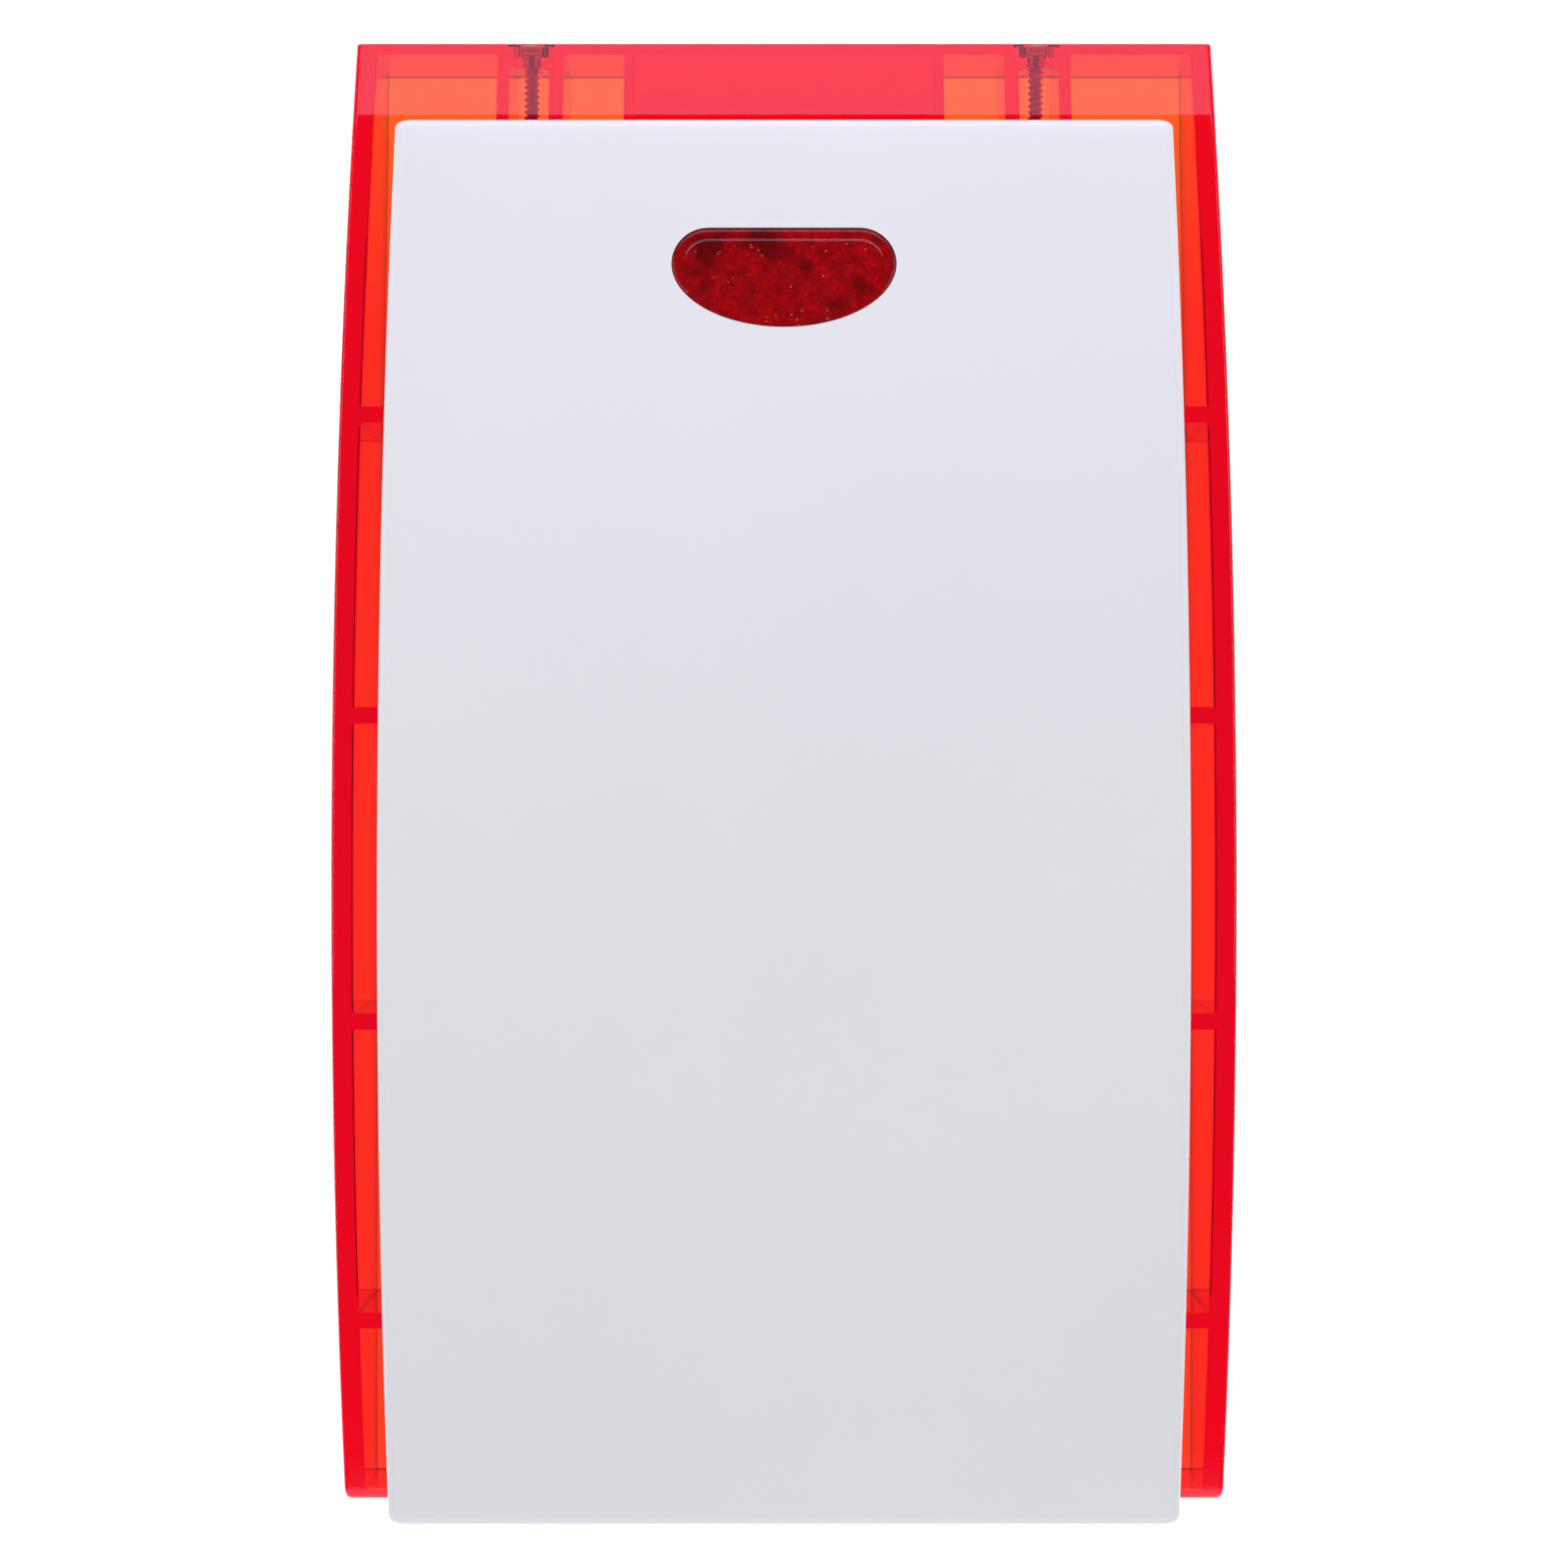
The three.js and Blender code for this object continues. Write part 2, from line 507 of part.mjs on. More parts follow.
function batteryStrap() {
  const { half, low, high, foot, screw, thick } = STRAP;
  const [outer, inner] = [CELL.axis - CELL.radius - 1.9, CELL.axis - CELL.radius - GAP];
  const [wide, sole] = [half + 1.6, PLATE_FACE - thick];
  const hat = [
    [-foot, PLATE_FACE], [-foot, sole], [-wide, sole], [-wide, outer], [wide, outer], [wide, sole],
    [foot, sole], [foot, PLATE_FACE], [half, PLATE_FACE], [half, inner], [-half, inner], [-half, PLATE_FACE],
  ];
  const outline = new THREE.Shape(hat.map(([x, y]) => new THREE.Vector2(x, y)));
  const strap = new THREE.ExtrudeGeometry(outline, { depth: high - low, bevelEnabled: false });
  const holes = [-screw, screw].map((x) => barY(1.95, x, -6, 0, (low + high) / 2, 10));
  return cut(solid(strap.translate(0, 0, low)), ...holes);
}

function lead(points, steps) {
  const path = new THREE.CatmullRomCurve3(points.map(([x, y, z]) => new THREE.Vector3(x, y, z)));
  const outline = new THREE.Shape().absarc(0, 0, LEADS.radius, 0, Math.PI * 2);
  const options = { steps, extrudePath: path, curveSegments: 4, bevelEnabled: false };
  return solid(new THREE.ExtrudeGeometry(outline, options));
}

// ---- Horn ----
// The horn's duct between two heights: four flat walls that widen towards the mouth, carried on past both
// ends by the given overrun.
function hornDuct(low, high, grow, overrun = 0) {
  const rise = high[0] - low[0];
  const ring = (t) => {
    const [z, halfX, halfY, middle] = low.map((value, i) => THREE.MathUtils.lerp(value, high[i], t));
    return [[1, 1], [-1, 1], [-1, -1], [1, -1]]
      .map(([right, back]) => new THREE.Vector3(right * (halfX + grow), middle + back * (halfY + grow), z));
  };
  return loft([ring(-overrun / rise), ring(1 + overrun / rise)]);
}

// One section of the horn, with whatever is joined to its outside.
function hornSection(index, ...fittings) {
  const [low, high] = [HORN_DUCT[index], HORN_DUCT[index + 1]];
  return cut(join(hornDuct(low, high, HORN.wall), ...fittings), hornDuct(low, high, 0, 1));
}

// Leaves the gap at the top of a section, where the next one begins.
const below = (z, shape) => shape.intersect(box(-60, 60, -60, 0, z - 60, z - GAP));

function hornFeet() {
  const { z, near, far, thick } = HORN_FOOT;
  const feet = [-1, 1].map((side) => join(
    sideBox(side, near, far, PLATE_FACE - thick, PLATE_FACE, z - 5, z + 5),
    sideBox(side, near, near + 4, -10, PLATE_FACE - thick + 0.5, z - 5, z + 5),
  ));
  return cut(join(...feet), ...HORN_SCREWS.map((x) => barY(1.95, x, -9, 0, z, 10)));
}

function hornThroat() {
  const { axis, driver, throat } = HORN;
  const flange = box(-driver, driver, axis - driver, axis + driver, throat - 0.5, throat + 2);
  const [, halfX, halfY] = HORN_DUCT[3];
  const bore = box(-halfX, halfX, axis - halfY, axis + halfY, throat - 0.4, throat + 3);
  return cut(hornSection(2, flange), bore);
}

function hornDriverBody() {
  const { driver, axis, throat, top, sides } = HORN;
  const low = throat + 3.6;
  const hollow = barZ(driver - 2, 0, axis, low - 1, top - 2.4, sides);
  return cut(barZ(driver, 0, axis, low, top, sides), hollow, barX(1.6, -30, -10, axis, low + 12, 8));
}

const ringZ = (outer, inner, z0, z1) =>
  cut(barZ(outer, 0, HORN.axis, z0, z1, HORN.sides), barZ(inner, 0, HORN.axis, z0 - 1, z1 + 1, HORN.sides));

function hornDiaphragm() {
  const front = [[0, 2.8], [4, 2.6], [8, 1.6], [11, 0], [16, 0]];
  const back = [[16, 0.6], [11, 0.6], [8, 2.2], [4, 3.2], [0, 3.4]];
  return spun([...front, ...back], HORN.sides);
}

// ---- Tamper plungers ----
function tamperPlunger() {
  const tip = housingFront(TAMPER.z) - TAMPER.tip;
  const { x, z, rod } = TAMPER;
  return spun([[0, 0], [1.2, 0], [rod, 0.8], [rod, 6], [3.1, 6], [3.1, 7.2], [rod, 7.2], [rod, -23 - tip],
    [0, -23 - tip]], 12, x, tip, z);
}

function wallTamperPlunger() {
  const { x, z, rod } = WALL_TAMPER;
  return spun([[0, -8.8], [rod, -8.8], [rod, -5.6], [3.5, -5.6], [3.5, -4.4], [rod, -4.4], [rod, -0.9],
    [1.4, -0.3], [0, -0.3]], 12, x, 0, z);
}

// The cover screw: a small head on a round flange, standing on its seat with the shank below.
function coverScrew() {
  const { shank, flange, head, seat, tip } = COVER_SCREW;
  const length = seat - tip;
  const body = spun([[0, -length], [0.5, -length], [shank, -length + 3], [shank, 0], [flange, 0], [flange, 0.6],
    [head, 1.1], [head, 2.1], [head * 0.8, 2.7], [0, 2.7]], 16);
  return cut(body, box(-1.7, 1.7, 1.2, 4, -0.4, 0.4), box(-0.4, 0.4, 1.2, 4, -1.7, 1.7));
}

// ---- Assembly ----
const base = new THREE.Group();
const cover = new THREE.Group();
part.add(base, cover);

place(base, 'back_plate', backPlate(), PLATE_PLASTIC);
place(base, 'cable_grommet', cableGrommet(), RUBBER, [CABLE.x, PLATE_FACE, CABLE.z]);
place(base, 'red_housing', redHousing(), RED_PLASTIC);
place(base, 'centre_red_panel', centrePanel(), RED_PLASTIC);
for (const [name, x] of [['hinge_pin_left', -HINGE.x], ['hinge_pin_right', HINGE.x]]) {
  place(base, name, barX(HINGE.pin, -6.6, 6.6, 0, 0, 24), STEEL, [x, HINGE.y, HINGE.z]);
}
HOUSING_SCREWS.forEach(([x, z], i) => {
  place(base, `housing_screw_${i + 1}`, panScrew(3.0, 2.2, 1.75, 7), STEEL, [x, -8.5, z], HEAD_TO_FRONT);
});

place(base, 'main_circuit_board', board(BOARD, BOARD_SCREWS), BOARD_GREEN);
BOARD_SCREWS.forEach(([x, z], i) => {
  const at = [x, BOARD.front - GAP, z];
  place(base, `board_screw_${i + 1}`, panScrew(2.8, 1.9, 1.4, 6.5, 8), STEEL, at, HEAD_TO_FRONT);
});
place(base, 'terminal_block', terminalBlock(), TERMINAL_GREEN);
[-44, -30].forEach((x, i) => {
  place(base, `capacitor_${i + 1}`, capacitor(12), BLACK_PLASTIC, [x, BOARD.front - GAP, 34], HEAD_TO_FRONT);
});
place(base, 'transformer_core', transformerCore(-38, 17), FERRITE);
place(base, 'transformer_winding', transformerWinding(-38, 17), COPPER);
place(base, 'controller_chip', chip(4, 28), BLACK_PLASTIC);
place(base, 'battery_socket', socket(40, 12, 2), PLATE_PLASTIC);
place(base, 'strobe_socket', socket(20, 62, 2), PLATE_PLASTIC);
place(base, 'horn_socket', socket(-18, 6, 2), PLATE_PLASTIC);
place(base, 'cover_tamper_switch', switchBody(TAMPER.x, TAMPER.z, -20, BOARD.front - GAP), BLACK_PLASTIC);
place(base, 'wall_tamper_switch', switchBody(WALL_TAMPER.x, WALL_TAMPER.z, -18.6, -11.6), BLACK_PLASTIC);

place(base, 'strobe_board', board(STROBE, STROBE_SCREWS), PLATE_PLASTIC);
STROBE_SCREWS.forEach(([x, z], i) => {
  const at = [x, STROBE.front - GAP, z];
  place(base, `strobe_board_screw_${i + 1}`, panScrew(2.8, 1.9, 1.4, 6.5, 8), STEEL, at, HEAD_TO_FRONT);
});
[-1, 0, 1].forEach((step, i) => {
  place(base, `strobe_led_${i + 1}`, led(), LED_RESIN, [step * LED_PITCH, STROBE.front - GAP, STROBE.z]);
});
place(base, 'strobe_reflector', reflector(), MIRROR);

place(base, 'battery_pack', batteryPack(), CELL_WRAP);
place(base, 'battery_strap', batteryStrap(), PLATE_PLASTIC);
[-STRAP.screw, STRAP.screw].forEach((x, i) => {
  const at = [x, PLATE_FACE - STRAP.thick - GAP, (STRAP.low + STRAP.high) / 2];
  place(base, `strap_screw_${i + 1}`, panScrew(2.8, 1.9, 1.6, 4, 8), STEEL, at, HEAD_TO_FRONT);
});
place(base, 'battery_lead', lead(LEADS.battery, 14), LEAD_SHEATH);
place(base, 'strobe_lead', lead(LEADS.strobe, 14), LEAD_SHEATH);
place(base, 'horn_lead', lead(LEADS.horn, 24), LEAD_SHEATH);

place(base, 'horn_bell', below(HORN_DUCT[1][0], hornSection(0)), BLACK_PLASTIC);
place(base, 'horn_flare', below(HORN_DUCT[2][0], hornSection(1, hornFeet())), BLACK_PLASTIC);
place(base, 'horn_throat', hornThroat(), BLACK_PLASTIC);
place(base, 'horn_gasket', ringZ(HORN.driver, 14, HORN.throat + 2 + GAP, HORN.throat + 3.3), RUBBER);
place(base, 'horn_driver_body', hornDriverBody(), BLACK_PLASTIC);
place(base, 'horn_magnet', barZ(12, 0, HORN.axis, HORN.throat + 13, HORN.top - 2.7, HORN.sides), FERRITE);
place(base, 'horn_diaphragm', hornDiaphragm(), ALUMINIUM, [0, HORN.axis, HORN.throat + 5], HEAD_UP);
HORN_SCREWS.forEach((x, i) => {
  const at = [x, PLATE_FACE - HORN_FOOT.thick - GAP, HORN_FOOT.z];
  place(base, `horn_screw_${i + 1}`, panScrew(2.8, 1.9, 1.6, 4, 8), STEEL, at, HEAD_TO_FRONT);
});

place(cover, 'front_cover', frontCover(), WHITE_PLASTIC);
for (const [name, x] of [['cover_fork_left', -COVER_SCREW.x], ['cover_fork_right', COVER_SCREW.x]]) {
  place(cover, name, coverFork(x), WHITE_PLASTIC);
}
place(cover, 'strobe_lens', strobeLens(), LENS_PLASTIC);
place(cover, 'lens_seal', lensSeal(), RUBBER);
place(cover, 'lens_retainer', lensRetainer(), WHITE_PLASTIC);

for (const [name, x] of [['cover_screw_left', -COVER_SCREW.x], ['cover_screw_right', COVER_SCREW.x]]) {
  place(part, name, coverScrew(), STEEL, [x, COVER_SCREW.y, COVER_SCREW.seat + 0.1], HEAD_UP);
}
place(part, 'cover_tamper_plunger', tamperPlunger(), PLATE_PLASTIC);
place(part, 'wall_tamper_plunger', wallTamperPlunger(), PLATE_PLASTIC);

export default part;
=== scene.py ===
"""The looks of a wall-mounted horn strobe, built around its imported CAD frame.

Shapes are made in millimetres and scaled to metres when they become objects. X is to the right, Y towards
the wall and Z up; the wall is y = 0. The driving sizes are the CAD model's own.
"""

import json
import math

import bmesh
import bpy
from mathutils import Matrix, Vector


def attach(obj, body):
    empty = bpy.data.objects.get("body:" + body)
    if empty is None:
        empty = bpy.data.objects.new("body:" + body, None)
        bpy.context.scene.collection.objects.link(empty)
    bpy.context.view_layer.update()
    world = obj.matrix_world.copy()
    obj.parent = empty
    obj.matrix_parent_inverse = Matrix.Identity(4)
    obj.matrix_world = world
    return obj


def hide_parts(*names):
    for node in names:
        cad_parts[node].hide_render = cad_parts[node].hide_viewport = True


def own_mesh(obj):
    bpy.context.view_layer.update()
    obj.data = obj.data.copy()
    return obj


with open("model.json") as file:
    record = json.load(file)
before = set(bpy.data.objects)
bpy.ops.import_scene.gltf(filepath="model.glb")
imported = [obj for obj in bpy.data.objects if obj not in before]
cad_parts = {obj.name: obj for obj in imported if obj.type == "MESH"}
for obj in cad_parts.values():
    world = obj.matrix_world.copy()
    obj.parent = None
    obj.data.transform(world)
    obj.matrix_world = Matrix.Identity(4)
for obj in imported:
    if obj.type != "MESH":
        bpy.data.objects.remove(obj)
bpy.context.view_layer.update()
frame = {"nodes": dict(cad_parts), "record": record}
nodes = frame["nodes"]
slots = {row["node"]: row["material_slot"] for row in frame["record"]["subparts"]}
MM = 0.001

# ---- Driving sizes, millimetres ----
# Fronts and backs are y values. Ribs are given as (near, far) from the middle, or by their height.
TOP, BOTTOM = 161.2, -156.0
HOUSING = {"side": 4.1, "front": 2.6, "top": 2.6, "bottom": 2.2, "rear": -0.4, "corner": 1.1}
BAY = {"half": 78.0, "wall": 2.4, "top": 139.4}
RIB_BACK = -2.9
CENTRE_PANEL = (-3.4, -0.8)  # front, back
SIDE_RIBS, SIDE_RIB_THICK = (78.5, 14.5, -50.3, -115.3), 3.5
TOP_RIBS, TOP_RIB_BOTTOM = ((32.5, 34.8), (47.9, 51.1), (59.7, 62.4)), 117.5
COVER = {"top": 142.3, "bottom": -160.3, "proud": 9.0, "wall": 2.6, "corner": 1.9, "gap": 0.4}
SCREW = {"x": 55.2, "y": -23.0, "core": 1.2, "thread": 1.72, "pitch": 1.35, "seat": 158.3, "tip": 120.2}
SCREW_HOLE = ((2.05, 116), (3.9, 158), (5.3, 160.4))  # (radius, lower end) of each step
LUG = {"half": 3.5, "low": 128.0, "high": 132.0, "front": -46.5, "back": -17.0}
HINGE = {"x": 50.0, "y": -22.0, "z": -159.0, "pin": 1.2, "ring": 2.6, "half": 3.6}
LENS = {"flat": 16.0, "side": 110.2, "round": 7.7, "half": 23.7, "drop": 13.7}
HOUSING_SCREWS = ((-70, 100), (70, 100), (-70, -132), (70, -132))
TAMPER = {"x": 30.0, "z": 40.0, "rod": 1.8}
# The bosses of the housing screws: a wide bore down to the screw's seat, and a narrow hole behind it.
BOSS = {"radius": 4.7, "bore": 3.5, "front": -60, "back": -6, "seat": -8.2, "hole": 2.05}
SOUND_SLOTS = {"numbers": range(-3, 4), "pitch": 12, "half": 4.5, "front": -21.5, "back": -8}
WEB = {"low_front": -16, "low_top": 125.5, "high_front": -17.5, "high_low": 155.7}
STIFFENER = {"x": 42, "half": 1.0, "low": -140, "high": 84, "depth": 3.6}
STIFFENER_LEVELS = (80, 14.5, -50.3, -115.3)
POST = {"radius": 2.5, "gap": 2.4}
# The rounding of each end: how high it reaches, and how far it draws in the sides and the front.
HOUSING_TOP, HOUSING_BOTTOM = (0.35, 0.35, 0.35), (3.0, 0.9, 2.0)
COVER_TOP, COVER_BOTTOM = (1.9, 2.3, 1.8), (2.4, 2.4, 2.6)


def bow(top, middle, bottom):
    """A value that bows with height, from its values at the housing's top, middle and bottom."""
    centre, half = (TOP + BOTTOM) / 2, (TOP - BOTTOM) / 2

    def value(z):
        s = (z - centre) / half
        return middle + s * (top - bottom) / 2 + s * s * ((top + bottom) / 2 - middle)

    return value


housing_half = bow(93.0, 95.5, 95.8)
housing_front = bow(-30, -56, -29)
cover_half = bow(83.0, 85.0, 85.6)


def cover_front(z):
    return housing_front(z) - COVER["proud"]


# ---- Camera and light, metres ----
CAMERA = {"lens": 87.1, "sensor": 36, "distance": 0.856}
SEEN, AMBIENT = (1.12, 1.12, 1.12), (0.63, 0.63, 0.645)
REFLECTED, BELOW = (0.08, 0.07, 0.10), (1.2, 0.95, 1.4)


def make_camera():
    """A level camera on the object's axis, far enough back for the perspective of a short telephoto."""
    data = bpy.data.cameras.new("camera")
    data.lens, data.sensor_width = CAMERA["lens"], CAMERA["sensor"]
    camera = bpy.data.objects.new("camera", data)
    camera.location = (0, -CAMERA["distance"], 0)
    camera.rotation_euler = (math.radians(90), 0, 0)
    bpy.context.collection.objects.link(camera)
    bpy.context.scene.camera = camera


def softbox(name, azimuth, elevation, distance, size, power, colour=(1, 1, 1)):
    """A rectangular light that looks at the middle of the object. Azimuth 0 is in front of it."""
    data = bpy.data.lights.new(name, "AREA")
    data.shape, data.energy, data.color = "RECTANGLE", power, colour
    data.size, data.size_y = size
    light = bpy.data.objects.new(name, data)
    a, e = math.radians(azimuth), math.radians(elevation)
    place = Vector((math.sin(a) * math.cos(e), -math.cos(a) * math.cos(e), math.sin(e))) * distance
    light.location = place
    light.rotation_euler = place.to_track_quat("Z", "Y").to_euler()
    bpy.context.collection.objects.link(light)


def make_world():
    """A white studio: bright behind the object, below it and where it is seen, soft all round, and dim
    and cool where the object's front reflects it."""
    world = bpy.data.worlds.new("studio")
    bpy.context.scene.world = world
    world.use_nodes = True
    tree = world.node_tree
    tree.nodes.clear()
    rays = tree.nodes.new("ShaderNodeLightPath")
    direction = tree.nodes.new("ShaderNodeSeparateXYZ")
    tree.links.new(tree.nodes.new("ShaderNodeTexCoord").outputs["Generated"], direction.inputs[0])
    below, behind = tree.nodes.new("ShaderNodeMapRange"), tree.nodes.new("ShaderNodeMapRange")
    for node, axis, low, high in ((below, "Z", -0.7, -0.9), (behind, "Y", 0.0, 0.25)):
        node.inputs["From Min"].default_value, node.inputs["From Max"].default_value = low, high
        tree.links.new(direction.outputs[axis], node.inputs["Value"])
    shader = None
    for factor, light in (
        (None, REFLECTED),
        (below.outputs[0], BELOW),
        (behind.outputs[0], SEEN),
        (rays.outputs["Is Diffuse Ray"], AMBIENT),
        (rays.outputs["Is Camera Ray"], SEEN),
    ):
        background = tree.nodes.new("ShaderNodeBackground")
        background.inputs["Color"].default_value = (*light, 1)
        if shader:
            mix = tree.nodes.new("ShaderNodeMixShader")
            tree.links.new(factor, mix.inputs[0])
            tree.links.new(shader, mix.inputs[1])
            tree.links.new(background.outputs[0], mix.inputs[2])
            background = mix
        shader = background.outputs[0]
    tree.links.new(shader, tree.nodes.new("ShaderNodeOutputWorld").inputs["Surface"])


# ---- Meshes ----
STATIONS = 72  # slices along a bowed shell


def new_object(name, bm, smooth_angle=30):
    """Turns a bmesh in millimetres into an object in metres, smooth but for its edges over an angle."""
    bmesh.ops.recalc_face_normals(bm, faces=bm.faces)
    bmesh.ops.scale(bm, vec=(MM, MM, MM), verts=bm.verts)
    mesh = bpy.data.meshes.new(name)
    bm.to_mesh(mesh)
    bm.free()
    mesh.polygons.foreach_set("use_smooth", [True] * len(mesh.polygons))
    mesh.set_sharp_from_angle(angle=math.radians(smooth_angle))
    thing = bpy.data.objects.new(name, mesh)
    bpy.context.collection.objects.link(thing)
    weighted = thing.modifiers.new("weighted_normal", "WEIGHTED_NORMAL")
    weighted.keep_sharp = True
    return thing


def box(x0, x1, y0, y1, z0, z1):
    bm = bmesh.new()
    size = Matrix.Diagonal((x1 - x0, y1 - y0, z1 - z0, 1))
    middle = Matrix.Translation(((x0 + x1) / 2, (y0 + y1) / 2, (z0 + z1) / 2))
    bmesh.ops.create_cube(bm, size=1, matrix=middle @ size)
    return bm


def bar(axis, radius, low, high, at, sides=48):
    """A round bar along an axis, from low to high on it. at gives its place on the other two axes."""
    bm = bmesh.new()
    half_way = (low + high) / 2
    turn, middle = {
        "X": (Matrix.Rotation(math.pi / 2, 4, "Y"), (half_way, *at)),
        "Y": (Matrix.Rotation(-math.pi / 2, 4, "X"), (at[0], half_way, at[1])),
        "Z": (Matrix(), (*at, half_way)),
    }[axis]
    bmesh.ops.create_cone(bm, cap_ends=True, segments=sides, radius1=radius, radius2=radius,
                          depth=high - low, matrix=Matrix.Translation(middle) @ turn)
    return bm


def loft(rings):
    """A closed body through rings of equal length."""
    bm = bmesh.new()
    rows = [[bm.verts.new(p) for p in ring] for ring in rings]
    for low, high in zip(rows, rows[1:]):
        for i in range(len(low)):
            j = (i + 1) % len(low)
            bm.faces.new((low[i], low[j], high[j], high[i]))
    bm.faces.new(rows[0])
    bm.faces.new(rows[-1])
    bmesh.ops.recalc_face_normals(bm, faces=bm.faces)
    return bm


def prism(outline, y0, y1):
    """An outline of (x, z) points made thick from y0 to y1."""
    return loft([[(x, y, z) for x, z in outline] for y in (y0, y1)])


def scratch_object(bm):
    """A plain object for one boolean."""
    mesh = bpy.data.meshes.new("scratch")
    bm.to_mesh(mesh)
    bm.free()
    thing = bpy.data.objects.new("scratch", mesh)
    bpy.context.collection.objects.link(thing)
    return thing


def combine(first, *steps):
    """first with each (operation, bmesh) of steps applied in turn: UNION, DIFFERENCE or INTERSECT."""
    target = scratch_object(first)
    tools = []
    for operation, bm in steps:
        tool = scratch_object(bm)
        tools.append(tool)
        boolean = target.modifiers.new(operation, "BOOLEAN")
        boolean.operation, boolean.solver, boolean.object = operation, "EXACT", tool
    bpy.context.view_layer.update()
    view = bpy.context.evaluated_depsgraph_get()
    mesh = bpy.data.meshes.new_from_object(target.evaluated_get(view))
    result = bmesh.new()
    result.from_mesh(mesh)
    bpy.data.meshes.remove(mesh)
    for thing in (target, *tools):
        old = thing.data
        bpy.data.objects.remove(thing)
        bpy.data.meshes.remove(old)
    bmesh.ops.remove_doubles(result, verts=result.verts, dist=1e-4)
    bmesh.ops.dissolve_degenerate(result, edges=result.edges, dist=1e-4)
    return result


def union(first, *rest):
    return combine(first, *(("UNION", bm) for bm in rest))


def less(first, *rest):
    return combine(first, *(("DIFFERENCE", bm) for bm in rest))


def slice_of_shell(z, half, front, back, radius, steps=5):
    """One slice of a shell, square at the back and rounded at its two front corners."""
    points = [(half, back, z), (-half, back, z)]
    for side, start in ((-1, math.pi), (1, 1.5 * math.pi)):
        for i in range(steps + 1):
            angle = start + math.pi / 2 * i / steps
            x = side * (half - radius) + radius * math.cos(angle)
            points.append((x, front + radius + radius * math.sin(angle), z))
    return points


def rounded_end(level, inwards, rounding, steps=6):
    """Where the slices of a shell's end lie, and how far the sides and the front are drawn in at each."""
    if not rounding:
        return [(level, 0, 0)]
    height, narrow, deep = rounding
    slices = []
    for i in range(steps + 1):
        turn = math.pi / 2 * i / steps
        drawn_in = 1 - math.sin(turn)
        slices.append((level + inwards * height * (1 - math.cos(turn)), narrow * drawn_in, deep * drawn_in))
    return slices


def bowed_shell(low, high, half, front, back, radius, low_round=None, high_round=None, steps=5):
    """A shell whose half width, front and back are functions of height. Its two ends may be rounded."""
    bottom, top = rounded_end(low, 1, low_round), rounded_end(high, -1, high_round)
    first, last = bottom[-1][0], top[-1][0]
    middle = [(first + (last - first) * i / STATIONS, 0, 0) for i in range(1, STATIONS)]
    return loft([
        slice_of_shell(z, half(z) - narrow, front(z) + deep, back(z), radius, steps)
        for z, narrow, deep in bottom + middle + top[::-1]
    ])


def arc(x, z, radius_x, radius_z, start, end, steps):
    """Points (x, z) on part of an ellipse, between two angles in degrees."""
    angles = [math.radians(start + (end - start) * i / steps) for i in range(steps + 1)]
    return [(x + radius_x * math.cos(a), z + radius_z * math.sin(a)) for a in angles]


def lens_outline(grow=0.0):
    """The D of the strobe window, grown outwards."""
    flat, side, corner, half, drop = (LENS[k] for k in ("flat", "side", "round", "half", "drop"))
    right = arc(flat, side, corner + grow, corner + grow, 90, 0, 12)
    under = arc(0, side, half + grow, drop + grow, 0, -180, 48)[1:-1]
    left = arc(-flat, side, corner + grow, corner + grow, 180, 90, 12)
    return right + under + left


# ---- Red housing ----
FAR_FRONT = -60  # ribs are drawn from here and trimmed to the housing's room


def side_box(side, near, far, back, low, high):
    """A rib on one side, from near to far from the middle and as deep as the housing's room."""
    left, right = sorted((side * near, side * far))
    return box(left, right, FAR_FRONT, back, low, high)


def bay_walls(side):
    """The wall beside the works, and the level ribs outside it."""
    half, wall, top = BAY["half"], BAY["wall"], BAY["top"]
    thick = SIDE_RIB_THICK / 2
    walls = [side_box(side, half, half + wall, HOUSING["rear"], BOTTOM + 1, top + wall)]
    walls += [side_box(side, half + 1, 94, HOUSING["rear"], z - thick, z + thick) for z in SIDE_RIBS]
    return walls


def screw_channel(side):
    """The upright ribs at the top, and the webs that hold one cover screw between two of them."""
    ribs = []
    for near, far in TOP_RIBS:
        ribs.append(side_box(side, near, far, RIB_BACK, TOP_RIB_BOTTOM, BAY["top"] + 1.2))
        ribs.append(side_box(side, near, far, HOUSING["rear"], BAY["top"] + 1, TOP - 1))
    near, far = TOP_RIBS[1][1] - 0.1, TOP_RIBS[2][0] + 0.1
    ribs.append(side_box(side, near, far, WEB["low_front"], TOP_RIB_BOTTOM, WEB["low_top"]))
    ribs.append(side_box(side, near, far, WEB["high_front"], WEB["high_low"], TOP - 1))
    return ribs


def housing_ribs():
    """Every wall, rib, web and boss inside the housing, before they are trimmed to it."""
    half, wall, top = BAY["half"], BAY["wall"], BAY["top"]
    ribs = [side_box(1, -half - wall, half + wall, HOUSING["rear"], top, top + wall)]
    for side in (-1, 1):
        ribs += bay_walls(side) + screw_channel(side)
    ribs += [bar("Y", BOSS["radius"], BOSS["front"], BOSS["back"], at) for at in HOUSING_SCREWS]
    return union(*ribs)


